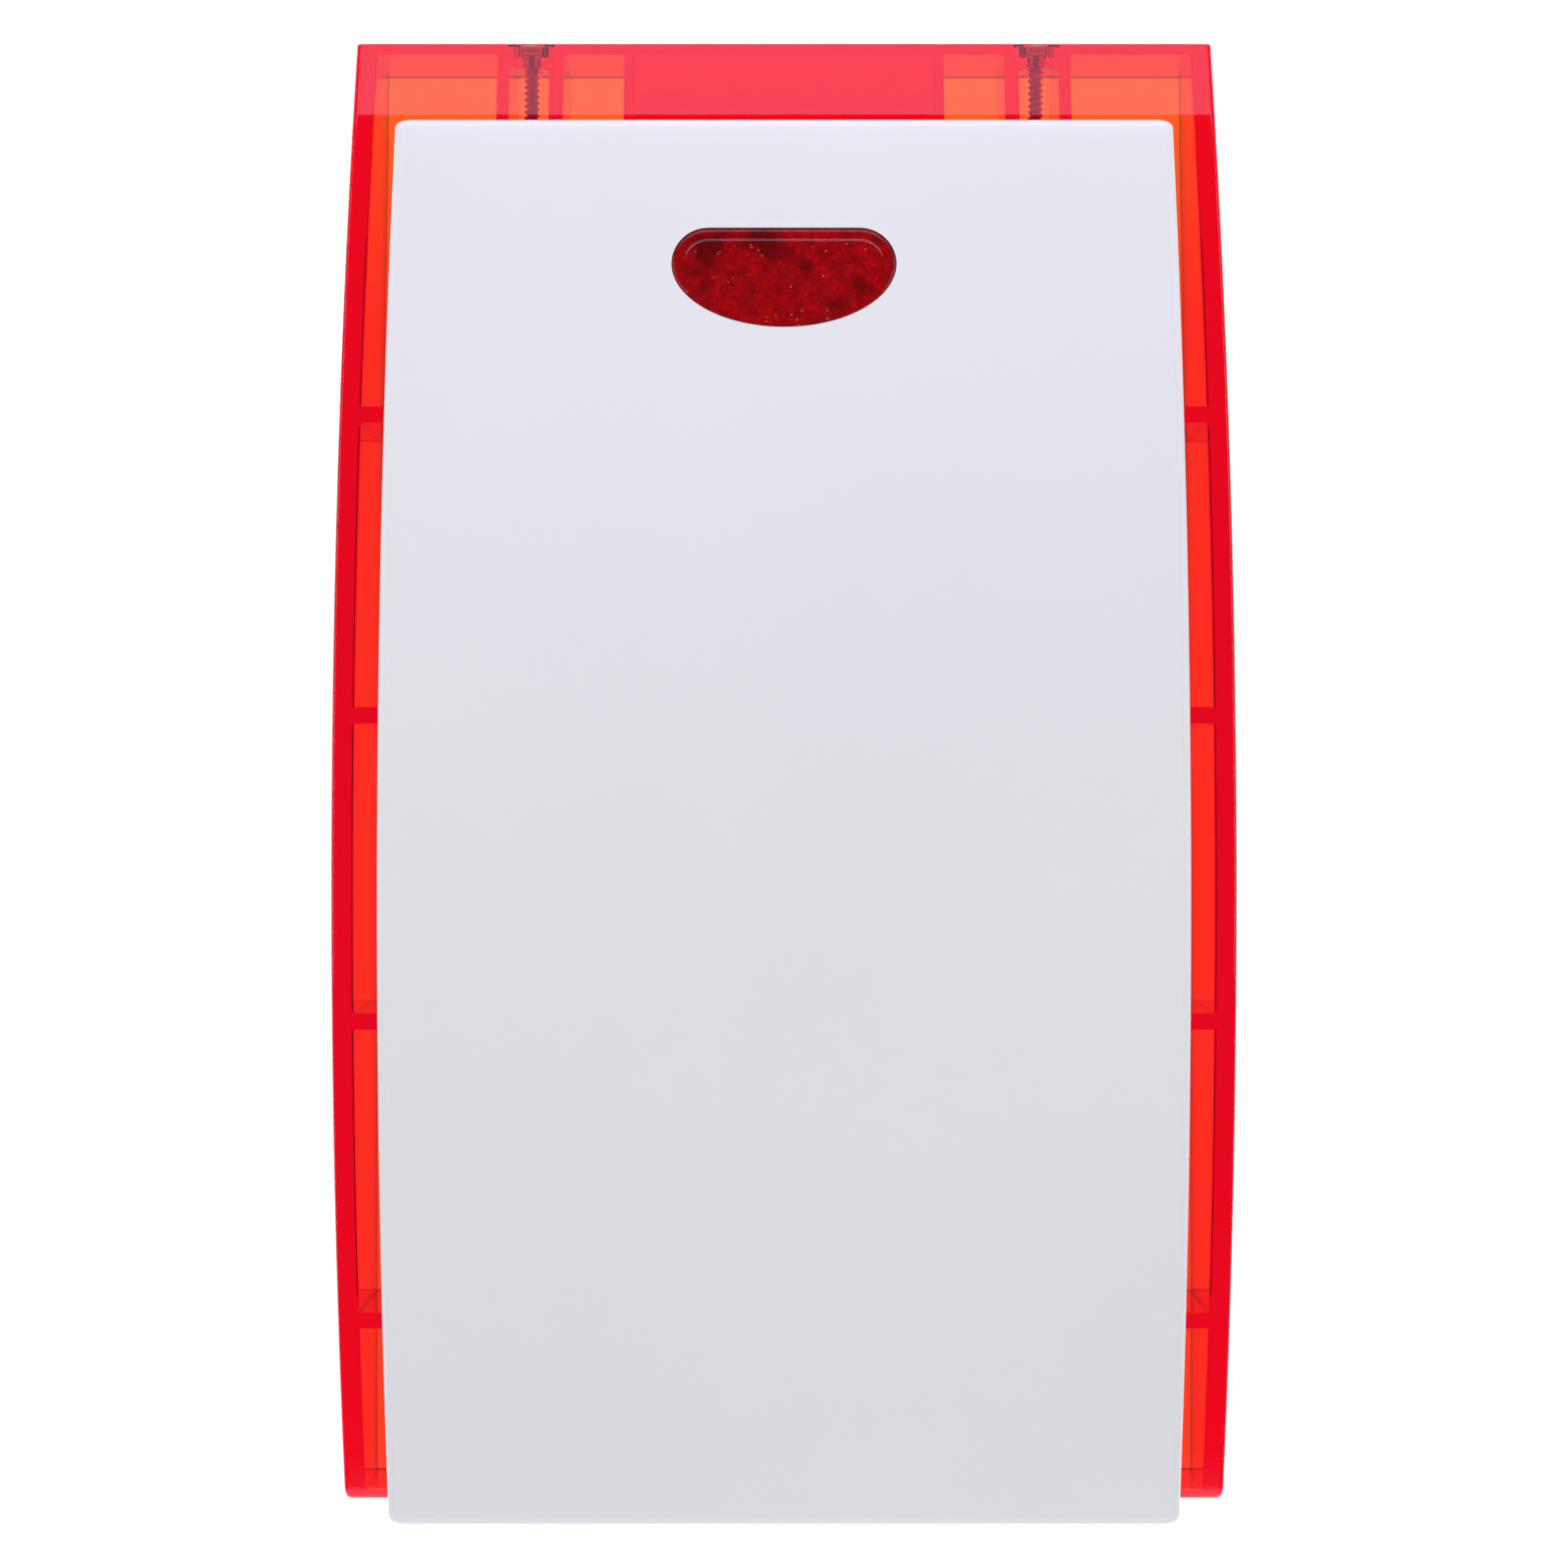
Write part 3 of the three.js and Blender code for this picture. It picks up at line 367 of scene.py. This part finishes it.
def housing_cuts():
    """The cover screws' stepped holes, the lugs' ways in, screw bores, sound slots and one rod's hole."""
    cuts = []
    for x in (-SCREW["x"], SCREW["x"]):
        cuts += [bar("Z", radius, low, 170, (x, SCREW["y"])) for radius, low in SCREW_HOLE]
        half = LUG["half"] + 0.5
        cuts.append(box(x - half, x + half, FAR_FRONT, -16, LUG["low"] - 1.8, LUG["high"] + 2))
    for at in HOUSING_SCREWS:
        cuts += [bar("Y", BOSS["bore"], -70, BOSS["seat"], at), bar("Y", BOSS["hole"], -9, -5, at)]
    half, front, back = (SOUND_SLOTS[k] for k in ("half", "front", "back"))
    for x in (SOUND_SLOTS["pitch"] * i for i in SOUND_SLOTS["numbers"]):
        cuts.append(box(x - half, x + half, front, back, BOTTOM - 1, BOTTOM + 4))
    cuts.append(bar("Y", TAMPER["rod"] + 0.5, -70, -40, (TAMPER["x"], TAMPER["z"])))
    return cuts


def hinge_ears():
    """Two ears at each hinge pin, either side of the cover's hook."""
    y, z, half, pin = (HINGE[k] for k in ("y", "z", "half", "pin"))
    ears = []
    for x in (-HINGE["x"], HINGE["x"]):
        for at in (x - half - 1.5, x + half + 1.5):
            ear = box(at - 1.1, at + 1.1, y - 2.6, y + 2.6, z - 2.2, BOTTOM + 1)
            ears.append(less(ear, bar("X", pin + 0.3, at - 3, at + 3, (y, z))))
    return ears


def centre_panel():
    """The panel that closes the back of the top centre bay."""
    half = TOP_RIBS[0][0] + 0.2
    return box(-half, half, *CENTRE_PANEL, BAY["top"] + BAY["wall"] - 0.2, TOP - HOUSING["top"] + 0.2)


def red_housing():
    """The red shell with its ribs, holes, centre panel and hinge ears."""
    corner = HOUSING["corner"]
    outer = bowed_shell(BOTTOM, TOP, housing_half, housing_front, lambda z: HOUSING["rear"], corner,
                        HOUSING_BOTTOM, HOUSING_TOP)
    inner = bowed_shell(
        BOTTOM + HOUSING["bottom"], TOP - HOUSING["top"], lambda z: housing_half(z) - HOUSING["side"],
        lambda z: housing_front(z) + HOUSING["front"], lambda z: 9, 0.8, steps=2,
    )
    room = bowed_shell(
        BOTTOM + 1, TOP - 1, lambda z: housing_half(z) - 1.2, lambda z: housing_front(z) + 1.2,
        lambda z: HOUSING["rear"], 0.5, steps=1,
    )
    ribs = combine(housing_ribs(), ("INTERSECT", room))
    shell = combine(outer, ("DIFFERENCE", inner), ("UNION", ribs))
    shell = less(shell, *housing_cuts())
    return new_object("red_housing_shell", union(shell, centre_panel(), *hinge_ears()))


# ---- Front cover ----
def cover_inner(z):
    return cover_front(z) + COVER["wall"]


def cover_back(z):
    return housing_front(max(z, BOTTOM)) - COVER["gap"]


def cover_stiffeners():
    """Two upright ribs that follow the bow inside the cover, and four level ones."""
    low, high, depth, half = (STIFFENER[k] for k in ("low", "high", "depth", "half"))
    heights = [low + (high - low) * i / 40 for i in range(41)]
    pieces = []
    for x in (-STIFFENER["x"], STIFFENER["x"]):
        pieces.append(loft([[
            (x + half, cover_inner(z) + depth, z), (x - half, cover_inner(z) + depth, z),
            (x - half, cover_inner(z) - 1, z), (x + half, cover_inner(z) - 1, z),
        ] for z in heights]))
    for z in STIFFENER_LEVELS:
        pieces.append(box(-83.5, 83.5, cover_inner(z) - 0.8, cover_inner(z) + 3.2, z - half, z + half))
    return pieces


def cover_lug(x):
    """A lug that a cover screw holds down, forked round it and open towards the wall."""
    lug = box(x - LUG["half"], x + LUG["half"], LUG["front"], LUG["back"], LUG["low"], LUG["high"])
    fork = box(x - 2.15, x + 2.15, SCREW["y"] - 2.3, 0, LUG["low"] - 1, LUG["high"] + 1)
    return less(lug, fork)


def hinge_hook(x):
    """A ring round a hinge pin, on an arm from the cover's lower edge."""
    y, z, half = HINGE["y"], HINGE["z"], HINGE["half"]
    ring = bar("X", HINGE["ring"], x - half, x + half, (y, z))
    arm = box(x - half, x + half, -33.5, y - 1, z - 1.2, z + 1.6)
    bore = bar("X", HINGE["pin"] + 0.3, x - 9, x + 9, (y, z))
    return combine(ring, ("UNION", arm), ("DIFFERENCE", bore))


def front_cover():
    """The white cover with its window's hole, stiffeners, tamper post, lugs and hooks."""
    wall = COVER["wall"]
    outer = bowed_shell(COVER["bottom"], COVER["top"], cover_half, cover_front, cover_back,
                        COVER["corner"], COVER_BOTTOM, COVER_TOP)
    inner = bowed_shell(
        COVER["bottom"] + wall, COVER["top"] - wall, lambda z: cover_half(z) - wall, cover_inner,
        lambda z: cover_back(z) + 6, 0.6, steps=2,
    )
    lip = box(-80, 80, -33.5, -27, COVER["bottom"] + 0.1, COVER["bottom"] + 2.2)
    x, z = TAMPER["x"], TAMPER["z"]
    post = bar("Y", POST["radius"], cover_front(z) + 1.5, housing_front(z) - POST["gap"], (x, z))
    shell = less(outer, inner, prism(lens_outline(0.12), -80, -40))
    lugs = [cover_lug(side * SCREW["x"]) for side in (-1, 1)]
    hooks = [hinge_hook(side * HINGE["x"]) for side in (-1, 1)]
    return new_object("front_cover_shell", union(shell, *cover_stiffeners(), lip, post, *lugs, *hooks))


# ---- Strobe window ----
PRISM_PITCH, WINDOW_BLOCK = 1.9, (56, 32, 107.2)  # the block's width, its height and where its middle is
ROUND_A_CELL = ((0, 0), (1, 0), (2, 0), (2, 1), (2, 2), (1, 2), (0, 2), (0, 1))
# How far each ring of the window's face is grown, and how deep it lies behind the cover's face.
WINDOW_FACE = (
    (-3.0, -0.16), (-2.65, -0.12), (-2.35, 0.0), (-0.9, 0.02),
    (-0.45, 0.1), (-0.15, 0.3), (0, 0.6), (0, 4.0),
)


def window_block(front, back, pitch, relief):
    """A block that follows the cover's bow, with rows of small pyramids on its back."""
    bm = bmesh.new()
    width, height, middle = WINDOW_BLOCK
    columns, rows = round(width / pitch), round(height / pitch)
    grid = {}
    for j in range(2 * rows + 1):
        for i in range(2 * columns + 1):
            x, z = (i - columns) * pitch / 2, middle + (j - rows) * pitch / 2
            peak = relief if i % 2 and j % 2 else 0
            grid[i, j, 0] = bm.verts.new((x, cover_front(z) + front, z))
            grid[i, j, 1] = bm.verts.new((x, cover_front(z) + back + peak, z))
    for j in range(0, 2 * rows, 2):
        for i in range(0, 2 * columns, 2):
            ring = [(i + di, j + dj) for di, dj in ROUND_A_CELL]
            for a, b in zip(ring, ring[1:] + ring[:1]):
                bm.faces.new((grid[*a, 1], grid[*b, 1], grid[i + 1, j + 1, 1]))
                bm.faces.new((grid[*a, 0], grid[i + 1, j + 1, 0], grid[*b, 0]))
    edge = [(i, 0) for i in range(2 * columns)] + [(2 * columns, j) for j in range(2 * rows)]
    edge += [(i, 2 * rows) for i in range(2 * columns, 0, -1)] + [(0, j) for j in range(2 * rows, 0, -1)]
    for a, b in zip(edge, edge[1:] + edge[:1]):
        bm.faces.new((grid[*a, 0], grid[*b, 0], grid[*b, 1], grid[*a, 1]))
    return bm


def window_ring(outer, inner, front, back):
    """A ring between the window's outline grown by outer and by inner, which follows the cover's bow."""
    hole, layer = prism(lens_outline(inner), -90, -20), window_block(front, back, 4, 0)
    return combine(prism(lens_outline(outer), -80, -30), ("DIFFERENCE", hole), ("INTERSECT", layer))


def strobe_window():
    """The window: a rounded face, small prisms behind its middle and a flange behind the cover."""
    face = loft([
        [(x, cover_front(z) + depth, z) for x, z in lens_outline(grow)]
        for grow, depth in WINDOW_FACE
    ])
    face = combine(face, ("INTERSECT", window_block(-0.5, 1.7, 4, 0)))
    field = window_block(0.9, 1.6, PRISM_PITCH, 1.3)
    prisms = combine(prism(lens_outline(-2.5), -80, -30), ("INTERSECT", field))
    wall, flange = window_ring(0, -2.6, 1.2, 4.4), window_ring(2.6, -2.6, 3.6, 4.8)
    return new_object("strobe_window", union(face, prisms, wall, flange), 18)


# ---- Cover screws and plunger springs ----
def joined(*parts):
    """Several closed bodies in one bmesh, left as they are where they cross."""
    merged = bmesh.new()
    for part in parts:
        mesh = bpy.data.meshes.new("scratch")
        part.to_mesh(mesh)
        part.free()
        merged.from_mesh(mesh)
        bpy.data.meshes.remove(mesh)
    return merged


def spun(profile, sides):
    """A closed body of revolution about Z, from (radius, z) points that start and end on the axis."""
    bm = bmesh.new()
    angles = [2 * math.pi * i / sides for i in range(sides)]
    rows = []
    for radius, z in profile:
        turns = angles if radius else [0]
        rows.append([bm.verts.new((radius * math.cos(a), radius * math.sin(a), z)) for a in turns])
    for a, b in zip(rows, rows[1:]):
        for i in range(sides):
            j = (i + 1) % sides
            corners = [a[i % len(a)], a[j % len(a)], b[j % len(b)], b[i % len(b)]]
            bm.faces.new(list(dict.fromkeys(corners)))
    bmesh.ops.recalc_face_normals(bm, faces=bm.faces)
    return bm


def screw_thread(length):
    """A helical ridge that fades out at both ends."""
    crest, pitch = SCREW["thread"], SCREW["pitch"]
    per_turn, root, flank = 24, SCREW["core"] - 0.06, 0.36
    steps = int((length - 1.4) / pitch * per_turn)
    rings = []
    for i in range(steps + 1):
        angle, z = 2 * math.pi * i / per_turn, 0.5 - length + pitch * i / per_turn
        tip = root + (crest - root) * min(1, i / (3 * per_turn), (steps - i) / per_turn)
        rings.append([
            (r * math.cos(angle), r * math.sin(angle), z + dz)
            for r, dz in ((root, -flank), (tip, -0.05), (tip, 0.05), (root, flank))
        ])
    return loft(rings)


def threaded_screw(name, x):
    """A small pan head with a cross recess on a round flange, over a core with a helical thread."""
    length, core = SCREW["seat"] - SCREW["tip"], SCREW["core"]
    shank = [(0, -length), (core * 0.35, -length + 0.4), (core, -length + 3), (core, 0.05)]
    flange = [(3.4, 0.08), (3.45, 0.25), (3.3, 0.5), (2.7, 0.85)]
    head = [(2.62, 1.1), (2.62, 1.9), (2.3, 2.45), (1.6, 2.7), (0, 2.75)]
    arms = [box(-1.7, 1.7, -0.35, 0.35, 1.4, 4), box(-0.35, 0.35, -1.7, 1.7, 1.4, 4)]
    screw = joined(less(spun(shank + flange + head, 40), *arms), screw_thread(length))
    bmesh.ops.translate(screw, vec=(x, SCREW["y"], SCREW["seat"]), verts=screw.verts)
    return new_object(name, screw, 35)


def plunger_spring(name, at, radius, wire, low, high, turns):
    """A coil spring along Y."""
    per_turn, sides = 20, 6
    x, z = at
    rings = []
    for i in range(turns * per_turn + 1):
        angle = 2 * math.pi * i / per_turn
        y = low + wire + (high - low - 2 * wire) * i / (turns * per_turn)
        ring = []
        for k in range(sides):
            around = 2 * math.pi * k / sides
            r = radius + wire * math.cos(around)
            ring.append((x + r * math.cos(angle), y + wire * math.sin(around), z + r * math.sin(angle)))
        rings.append(ring)
    return new_object(name, loft(rings), 60)


# ---- Materials ----
class Paint:
    """A material's nodes, with short ways to add and join them."""

    def __init__(self, name):
        self.material = bpy.data.materials.new(name)
        self.material.use_nodes = True
        self.tree = self.material.node_tree
        self.tree.nodes.clear()
        self.out = self.add("ShaderNodeOutputMaterial")
        self.shader = self.add("ShaderNodeBsdfPrincipled")
        self.link(self.shader.outputs[0], self.out.inputs["Surface"])
        self.place = self.add("ShaderNodeTexCoord").outputs["Object"]

    def add(self, kind, **settings):
        node = self.tree.nodes.new(kind)
        for key, value in settings.items():
            setattr(node, key, value)
        return node

    def link(self, a, b):
        self.tree.links.new(a, b)

    def set(self, **values):
        for key, value in values.items():
            self.shader.inputs[key.replace("_", " ")].default_value = value

    def noise(self, scale, detail=3, roughness=0.5, stretch=None):
        node = self.add("ShaderNodeTexNoise")
        node.inputs["Scale"].default_value = scale
        node.inputs["Detail"].default_value = detail
        node.inputs["Roughness"].default_value = roughness
        source = self.place
        if stretch:
            mapping = self.add("ShaderNodeMapping")
            mapping.inputs["Scale"].default_value = stretch
            self.link(source, mapping.inputs["Vector"])
            source = mapping.outputs[0]
        self.link(source, node.inputs["Vector"])
        return node.outputs["Fac"]

    def cells(self, scale, **settings):
        node = self.add("ShaderNodeTexVoronoi", **settings)
        node.inputs["Scale"].default_value = scale
        self.link(self.place, node.inputs["Vector"])
        return node.outputs

    def times(self, a, b):
        node = self.add("ShaderNodeMath", operation="MULTIPLY")
        self.link(a, node.inputs[0])
        self.link(b, node.inputs[1])
        return node.outputs[0]

    def ramp(self, value, low, high, to_low, to_high):
        node = self.add("ShaderNodeMapRange")
        sockets = ("From Min", "From Max", "To Min", "To Max")
        for socket, number in zip(sockets, (low, high, to_low, to_high)):
            node.inputs[socket].default_value = number
        self.link(value, node.inputs["Value"])
        return node.outputs[0]

    def mix(self, factor, a, b):
        node = self.add("ShaderNodeMix", data_type="RGBA")
        for socket, colour in ((node.inputs[6], a), (node.inputs[7], b)):
            if isinstance(colour, tuple):
                socket.default_value = (*colour, 1)
            else:
                self.link(colour, socket)
        self.link(factor, node.inputs[0])
        return node.outputs[2]

    def colour(self, socket):
        self.link(socket, self.shader.inputs["Base Color"])

    def roughness(self, socket):
        self.link(socket, self.shader.inputs["Roughness"])

    def bump(self, height, strength, distance):
        node = self.add("ShaderNodeBump")
        node.inputs["Strength"].default_value = strength
        node.inputs["Distance"].default_value = distance
        self.link(height, node.inputs["Height"])
        self.link(node.outputs[0], self.shader.inputs["Normal"])


def moulded(name, colour, shade, rough, grain=1500.0, depth=0.00004):
    """Moulded plastic: fine grain, a slight drift of colour and uneven gloss."""
    p = Paint(name)
    p.colour(p.mix(p.noise(18, 4), colour, shade))
    p.roughness(p.ramp(p.noise(60, 3), 0.3, 0.7, rough * 0.85, rough * 1.15))
    p.bump(p.noise(grain, 2), 0.35, depth)
    return p.material


def cover_white():
    """High-gloss white moulding with faint flow clouds and a few dust specks."""
    p = Paint("cover_white")
    base = p.mix(p.ramp(p.noise(9, 3), 0.35, 0.65, 0, 1), (0.865, 0.875, 0.865), (0.845, 0.855, 0.85))
    specks = p.cells(42)
    speck = p.ramp(specks["Distance"], 0.008, 0.016, 1, 0)
    rare = p.ramp(specks["Color"], 0.80, 0.81, 0, 0.55)
    p.colour(p.mix(p.times(speck, rare), base, (0.35, 0.34, 0.35)))
    p.roughness(p.ramp(p.noise(25, 4), 0.3, 0.7, 0.10, 0.17))
    p.bump(p.noise(160, 2), 0.05, 0.00004)
    p.set(IOR=1.5)
    return p.material


def red_glass(density, clear):
    """Clear-tinted plastic: its colour comes from how far light travels in it and is redder low down. Its
    paler top is a painted reflection of the light above, and its faint blue glow a painted sheen.
    """
    p = Paint("red_translucent")
    # A faint blue emission is a painted sheen: the plastic glows a little blue though it is no lamp.
    p.set(Transmission_Weight=1.0, IOR=1.5, Emission_Color=(0, 0, 1, 1), Emission_Strength=0.011)
    height = p.add("ShaderNodeSeparateXYZ")
    p.link(p.place, height.inputs[0])
    # Painted reflection: the surface tint fades to clear near the top, standing in for the light above
    # reflected there.
    painted_top_reflection = p.ramp(height.outputs["Z"], 0.10, 0.145, 0, 1)
    p.colour(p.mix(painted_top_reflection, (1, 0.42, 0.8), (1, 1, 1)))
    p.roughness(p.ramp(p.noise(40, 3), 0.3, 0.7, 0.0024, 0.0056))
    p.bump(p.noise(55, 2), 0.006, 0.0002)
    shadow = p.add("ShaderNodeBsdfTransparent")
    shadow.inputs["Color"].default_value = (1, 0.93, 0.93, 1)
    path, mix = p.add("ShaderNodeLightPath"), p.add("ShaderNodeMixShader")
    p.link(path.outputs["Is Shadow Ray"], mix.inputs[0])
    p.link(p.shader.outputs[0], mix.inputs[1])
    p.link(shadow.outputs[0], mix.inputs[2])
    p.link(mix.outputs[0], p.out.inputs["Surface"])
    volume = p.add("ShaderNodeVolumeAbsorption")
    volume.inputs["Color"].default_value = (*clear, 1)
    volume.inputs["Density"].default_value = density
    p.link(volume.outputs[0], p.out.inputs["Volume"])
    return p.material


def window_red():
    """Deep red plastic that lets some light through and scatters the rest, mottled darker and lighter, with
    small painted glints of light on it.
    """
    p = Paint("lens_red")
    dots = p.ramp(p.cells(1000)["Distance"], 0.15, 0.7, 1, 0)
    cloud = p.ramp(p.noise(330, 5, 0.7), 0.36, 0.60, 0, 1)
    body = p.mix(cloud, (0.40, 0.0, 0.001), p.mix(dots, (0.62, 0.0, 0.002), (0.92, 0.002, 0.004)))
    body = p.mix(p.ramp(p.noise(75, 2), 0.54, 0.66, 0, 0.7), body, (0.10, 0.0, 0.001))
    # Painted glints: rare bright orange spots in the colour stand in for light catching the prisms.
    painted_glints = p.cells(650)
    glint_mask, rare = p.ramp(painted_glints["Distance"], 0.10, 0.17, 1, 0), p.ramp(painted_glints["Color"], 0.62, 0.64, 0, 1)
    p.colour(p.mix(p.times(glint_mask, rare), body, (1.0, 0.16, 0.13)))
    p.roughness(p.ramp(p.noise(90, 3), 0.3, 0.7, 0.04, 0.09))
    p.set(Transmission_Weight=0.5, IOR=1.5)
    return p.material


def metal(name, colour, rough, brushed=None, metallic=1.0):
    """Metal with a slight drift of colour and fine marks, which brushed stretches along an axis."""
    p = Paint(name)
    p.set(Metallic=metallic)
    p.colour(p.mix(p.noise(120, 4), colour, tuple(c * 0.82 for c in colour)))
    p.roughness(p.ramp(p.noise(400, 3, stretch=brushed), 0.3, 0.7, rough * 0.7, rough * 1.3))
    p.bump(p.noise(900, 2, stretch=brushed), 0.2, 0.00003)
    return p.material


def circuit_board(name, mask, track):
    """Solder mask over a maze of copper tracks."""
    p = Paint(name)
    maze = p.cells(160, distance="MANHATTAN", feature="DISTANCE_TO_EDGE")
    lines = p.ramp(maze["Distance"], 0.05, 0.09, 1, 0)
    p.colour(p.mix(lines, mask, track))
    p.roughness(p.ramp(p.noise(300, 2), 0.3, 0.7, 0.28, 0.42))
    p.bump(lines, 0.5, 0.00005)
    return p.material


def windings():
    """Turns of enamelled wire side by side, painted darker in the grooves between them as shade."""
    p = Paint("copper")
    wave = p.add("ShaderNodeTexWave", bands_direction="Z")
    wave.inputs["Scale"].default_value = 320
    wave.inputs["Distortion"].default_value = 0.4
    p.link(p.place, wave.inputs["Vector"])
    p.set(Metallic=1.0)
    # Painted shade: the wave's low bands, the grooves between the turns, are coloured dark.
    p.colour(p.mix(wave.outputs["Fac"], (0.30, 0.10, 0.04), (0.75, 0.36, 0.18)))
    p.roughness(p.ramp(p.noise(200), 0.3, 0.7, 0.25, 0.4))
    p.bump(wave.outputs["Fac"], 0.8, 0.0003)
    return p.material


def make_materials():
    """Every slot's material by name. The CAD nodes get theirs here too."""
    made = {
        "cover_white": cover_white(),
        "red_translucent": red_glass(2200, (0.9975, 0.61, 0.0)),
        "lens_red": window_red(),
        "plate_white": moulded("plate_white", (0.84, 0.83, 0.80), (0.80, 0.79, 0.76), 0.45),
        "black_plastic": moulded("black_plastic", (0.022, 0.022, 0.024), (0.032, 0.032, 0.034), 0.42),
        "sleeve_black": moulded("sleeve_black", (0.03, 0.03, 0.04), (0.04, 0.04, 0.05), 0.25, 400),
        "rubber_black": moulded("rubber_black", (0.018, 0.018, 0.018), (0.028, 0.027, 0.026), 0.8,
                                900, 0.0001),
        "steel": metal("steel", (0.80, 0.79, 0.77), 0.4, metallic=0.6),
        "board_green": circuit_board("board_green", (0.012, 0.13, 0.045), (0.03, 0.24, 0.08)),
        "board_white": circuit_board("board_white", (0.80, 0.81, 0.80), (0.70, 0.71, 0.69)),
        "terminal_green": moulded("terminal_green", (0.03, 0.26, 0.07), (0.04, 0.30, 0.09), 0.35),
        "ferrite": moulded("ferrite", (0.03, 0.03, 0.034), (0.05, 0.05, 0.055), 0.55, 2500, 0.00008),
        "copper": windings(),
        "led_resin": moulded("led_resin", (0.86, 0.80, 0.45), (0.82, 0.74, 0.36), 0.15, 300),
        "reflector_chrome": metal("reflector_chrome", (0.92, 0.92, 0.93), 0.08),
        "cell_wrap": moulded("cell_wrap", (0.03, 0.12, 0.42), (0.04, 0.14, 0.46), 0.28, 120, 0.00012),
        "lead_red": moulded("lead_red", (0.45, 0.015, 0.015), (0.36, 0.01, 0.01), 0.5),
        "aluminium": metal("aluminium", (0.80, 0.81, 0.83), 0.25, (1, 1, 12)),
    }
    for name, thing in nodes.items():
        thing.data.materials.clear()
        thing.data.materials.append(made[slots[name]])
        thing.data.polygons.foreach_set("use_smooth", [True] * len(thing.data.polygons))
        thing.data.set_sharp_from_angle(angle=math.radians(35))
    return made


FLOOR = {"half": 1100, "z": -420}


def floor():
    """A plain pale floor, well below the object."""
    bm = bmesh.new()
    place = Matrix.Translation((0, 0, FLOOR["z"]))
    bmesh.ops.create_grid(bm, x_segments=8, y_segments=8, size=FLOOR["half"], matrix=place)
    thing = new_object("floor", bm)
    p = Paint("floor_paint")
    p.colour(p.mix(p.noise(2), (0.93, 0.93, 0.93), (0.95, 0.95, 0.95)))
    p.set(Roughness=0.9)
    thing.data.materials.append(p.material)
    thing.visible_glossy = False


def softened(node, width):
    """A copy of a CAD node with its sharp edges rounded."""
    source = nodes[node]
    bm = bmesh.new()
    bm.from_mesh(source.data)
    bm.transform(source.matrix_world)
    bmesh.ops.remove_doubles(bm, verts=bm.verts, dist=1e-7)
    bmesh.ops.dissolve_limit(bm, angle_limit=math.radians(2), verts=bm.verts, edges=bm.edges)
    mesh = bpy.data.meshes.new(f"{node}_softened")
    bm.to_mesh(mesh)
    bm.free()
    thing = bpy.data.objects.new(f"{node}_softened", mesh)
    bpy.context.collection.objects.link(thing)
    bevel = thing.modifiers.new("bevel", "BEVEL")
    bevel.width, bevel.segments, bevel.limit_method = width * MM, 2, "ANGLE"
    bevel.angle_limit, bevel.use_clamp_overlap = math.radians(30), True
    mesh.polygons.foreach_set("use_smooth", [True] * len(mesh.polygons))
    mesh.set_sharp_from_angle(angle=math.radians(40))
    return thing


def piece(thing, slot, body, *replaced):
    """Gives a piece its material and the body that it rides on, and hides the CAD nodes that it stands in
    for.
    """
    thing.data.materials.append(materials[slot])
    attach(thing, body)
    if replaced:
        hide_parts(*replaced)
    return thing


# ---- Scene ----
SPRINGS = (  # name, (x, z), coil radius, low y, high y, turns, travel, the y of the end that stays
    ("cover_plunger", (30, 40), 2.5, -48.7, -20.2, 14, 2.5, -20.2),
    ("wall_plunger", (-40, 82), 2.9, -11.4, -5.7, 4, 2.0, -11.4),
)
SPRING_WIRE = 0.3

make_camera()
make_world()
softbox("overhead", 0, 65.7, 1.35, (1.5, 0.95), 6.5, (1.0, 0.9, 1.3))
softbox("left", -62, 12, 1.5, (0.5, 1.3), 2.5)
softbox("right", 62, 12, 1.5, (0.5, 1.3), 2.5)
bpy.context.scene.view_settings.view_transform = "Standard"
materials = make_materials()
floor()

piece(red_housing(), "red_translucent", "base", "red_housing", "centre_red_panel")
piece(front_cover(), "cover_white", "cover", "front_cover", "cover_fork_left", "cover_fork_right")
piece(strobe_window(), "lens_red", "cover", "strobe_lens")
for side, x in (("left", -SCREW["x"]), ("right", SCREW["x"])):
    screw = threaded_screw(f"{side}_threaded_screw", x)
    piece(screw, "steel", f"{side}_screw", f"cover_screw_{side}")
for name, at, radius, low, high, turns, travel, fixed in SPRINGS:
    coil = plunger_spring(f"{name}_spring", at, radius, SPRING_WIRE, low, high, turns)
    spring = piece(coil, "steel", "base")
    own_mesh(spring)
piece(softened("back_plate", 0.35), "plate_white", "base", "back_plate")
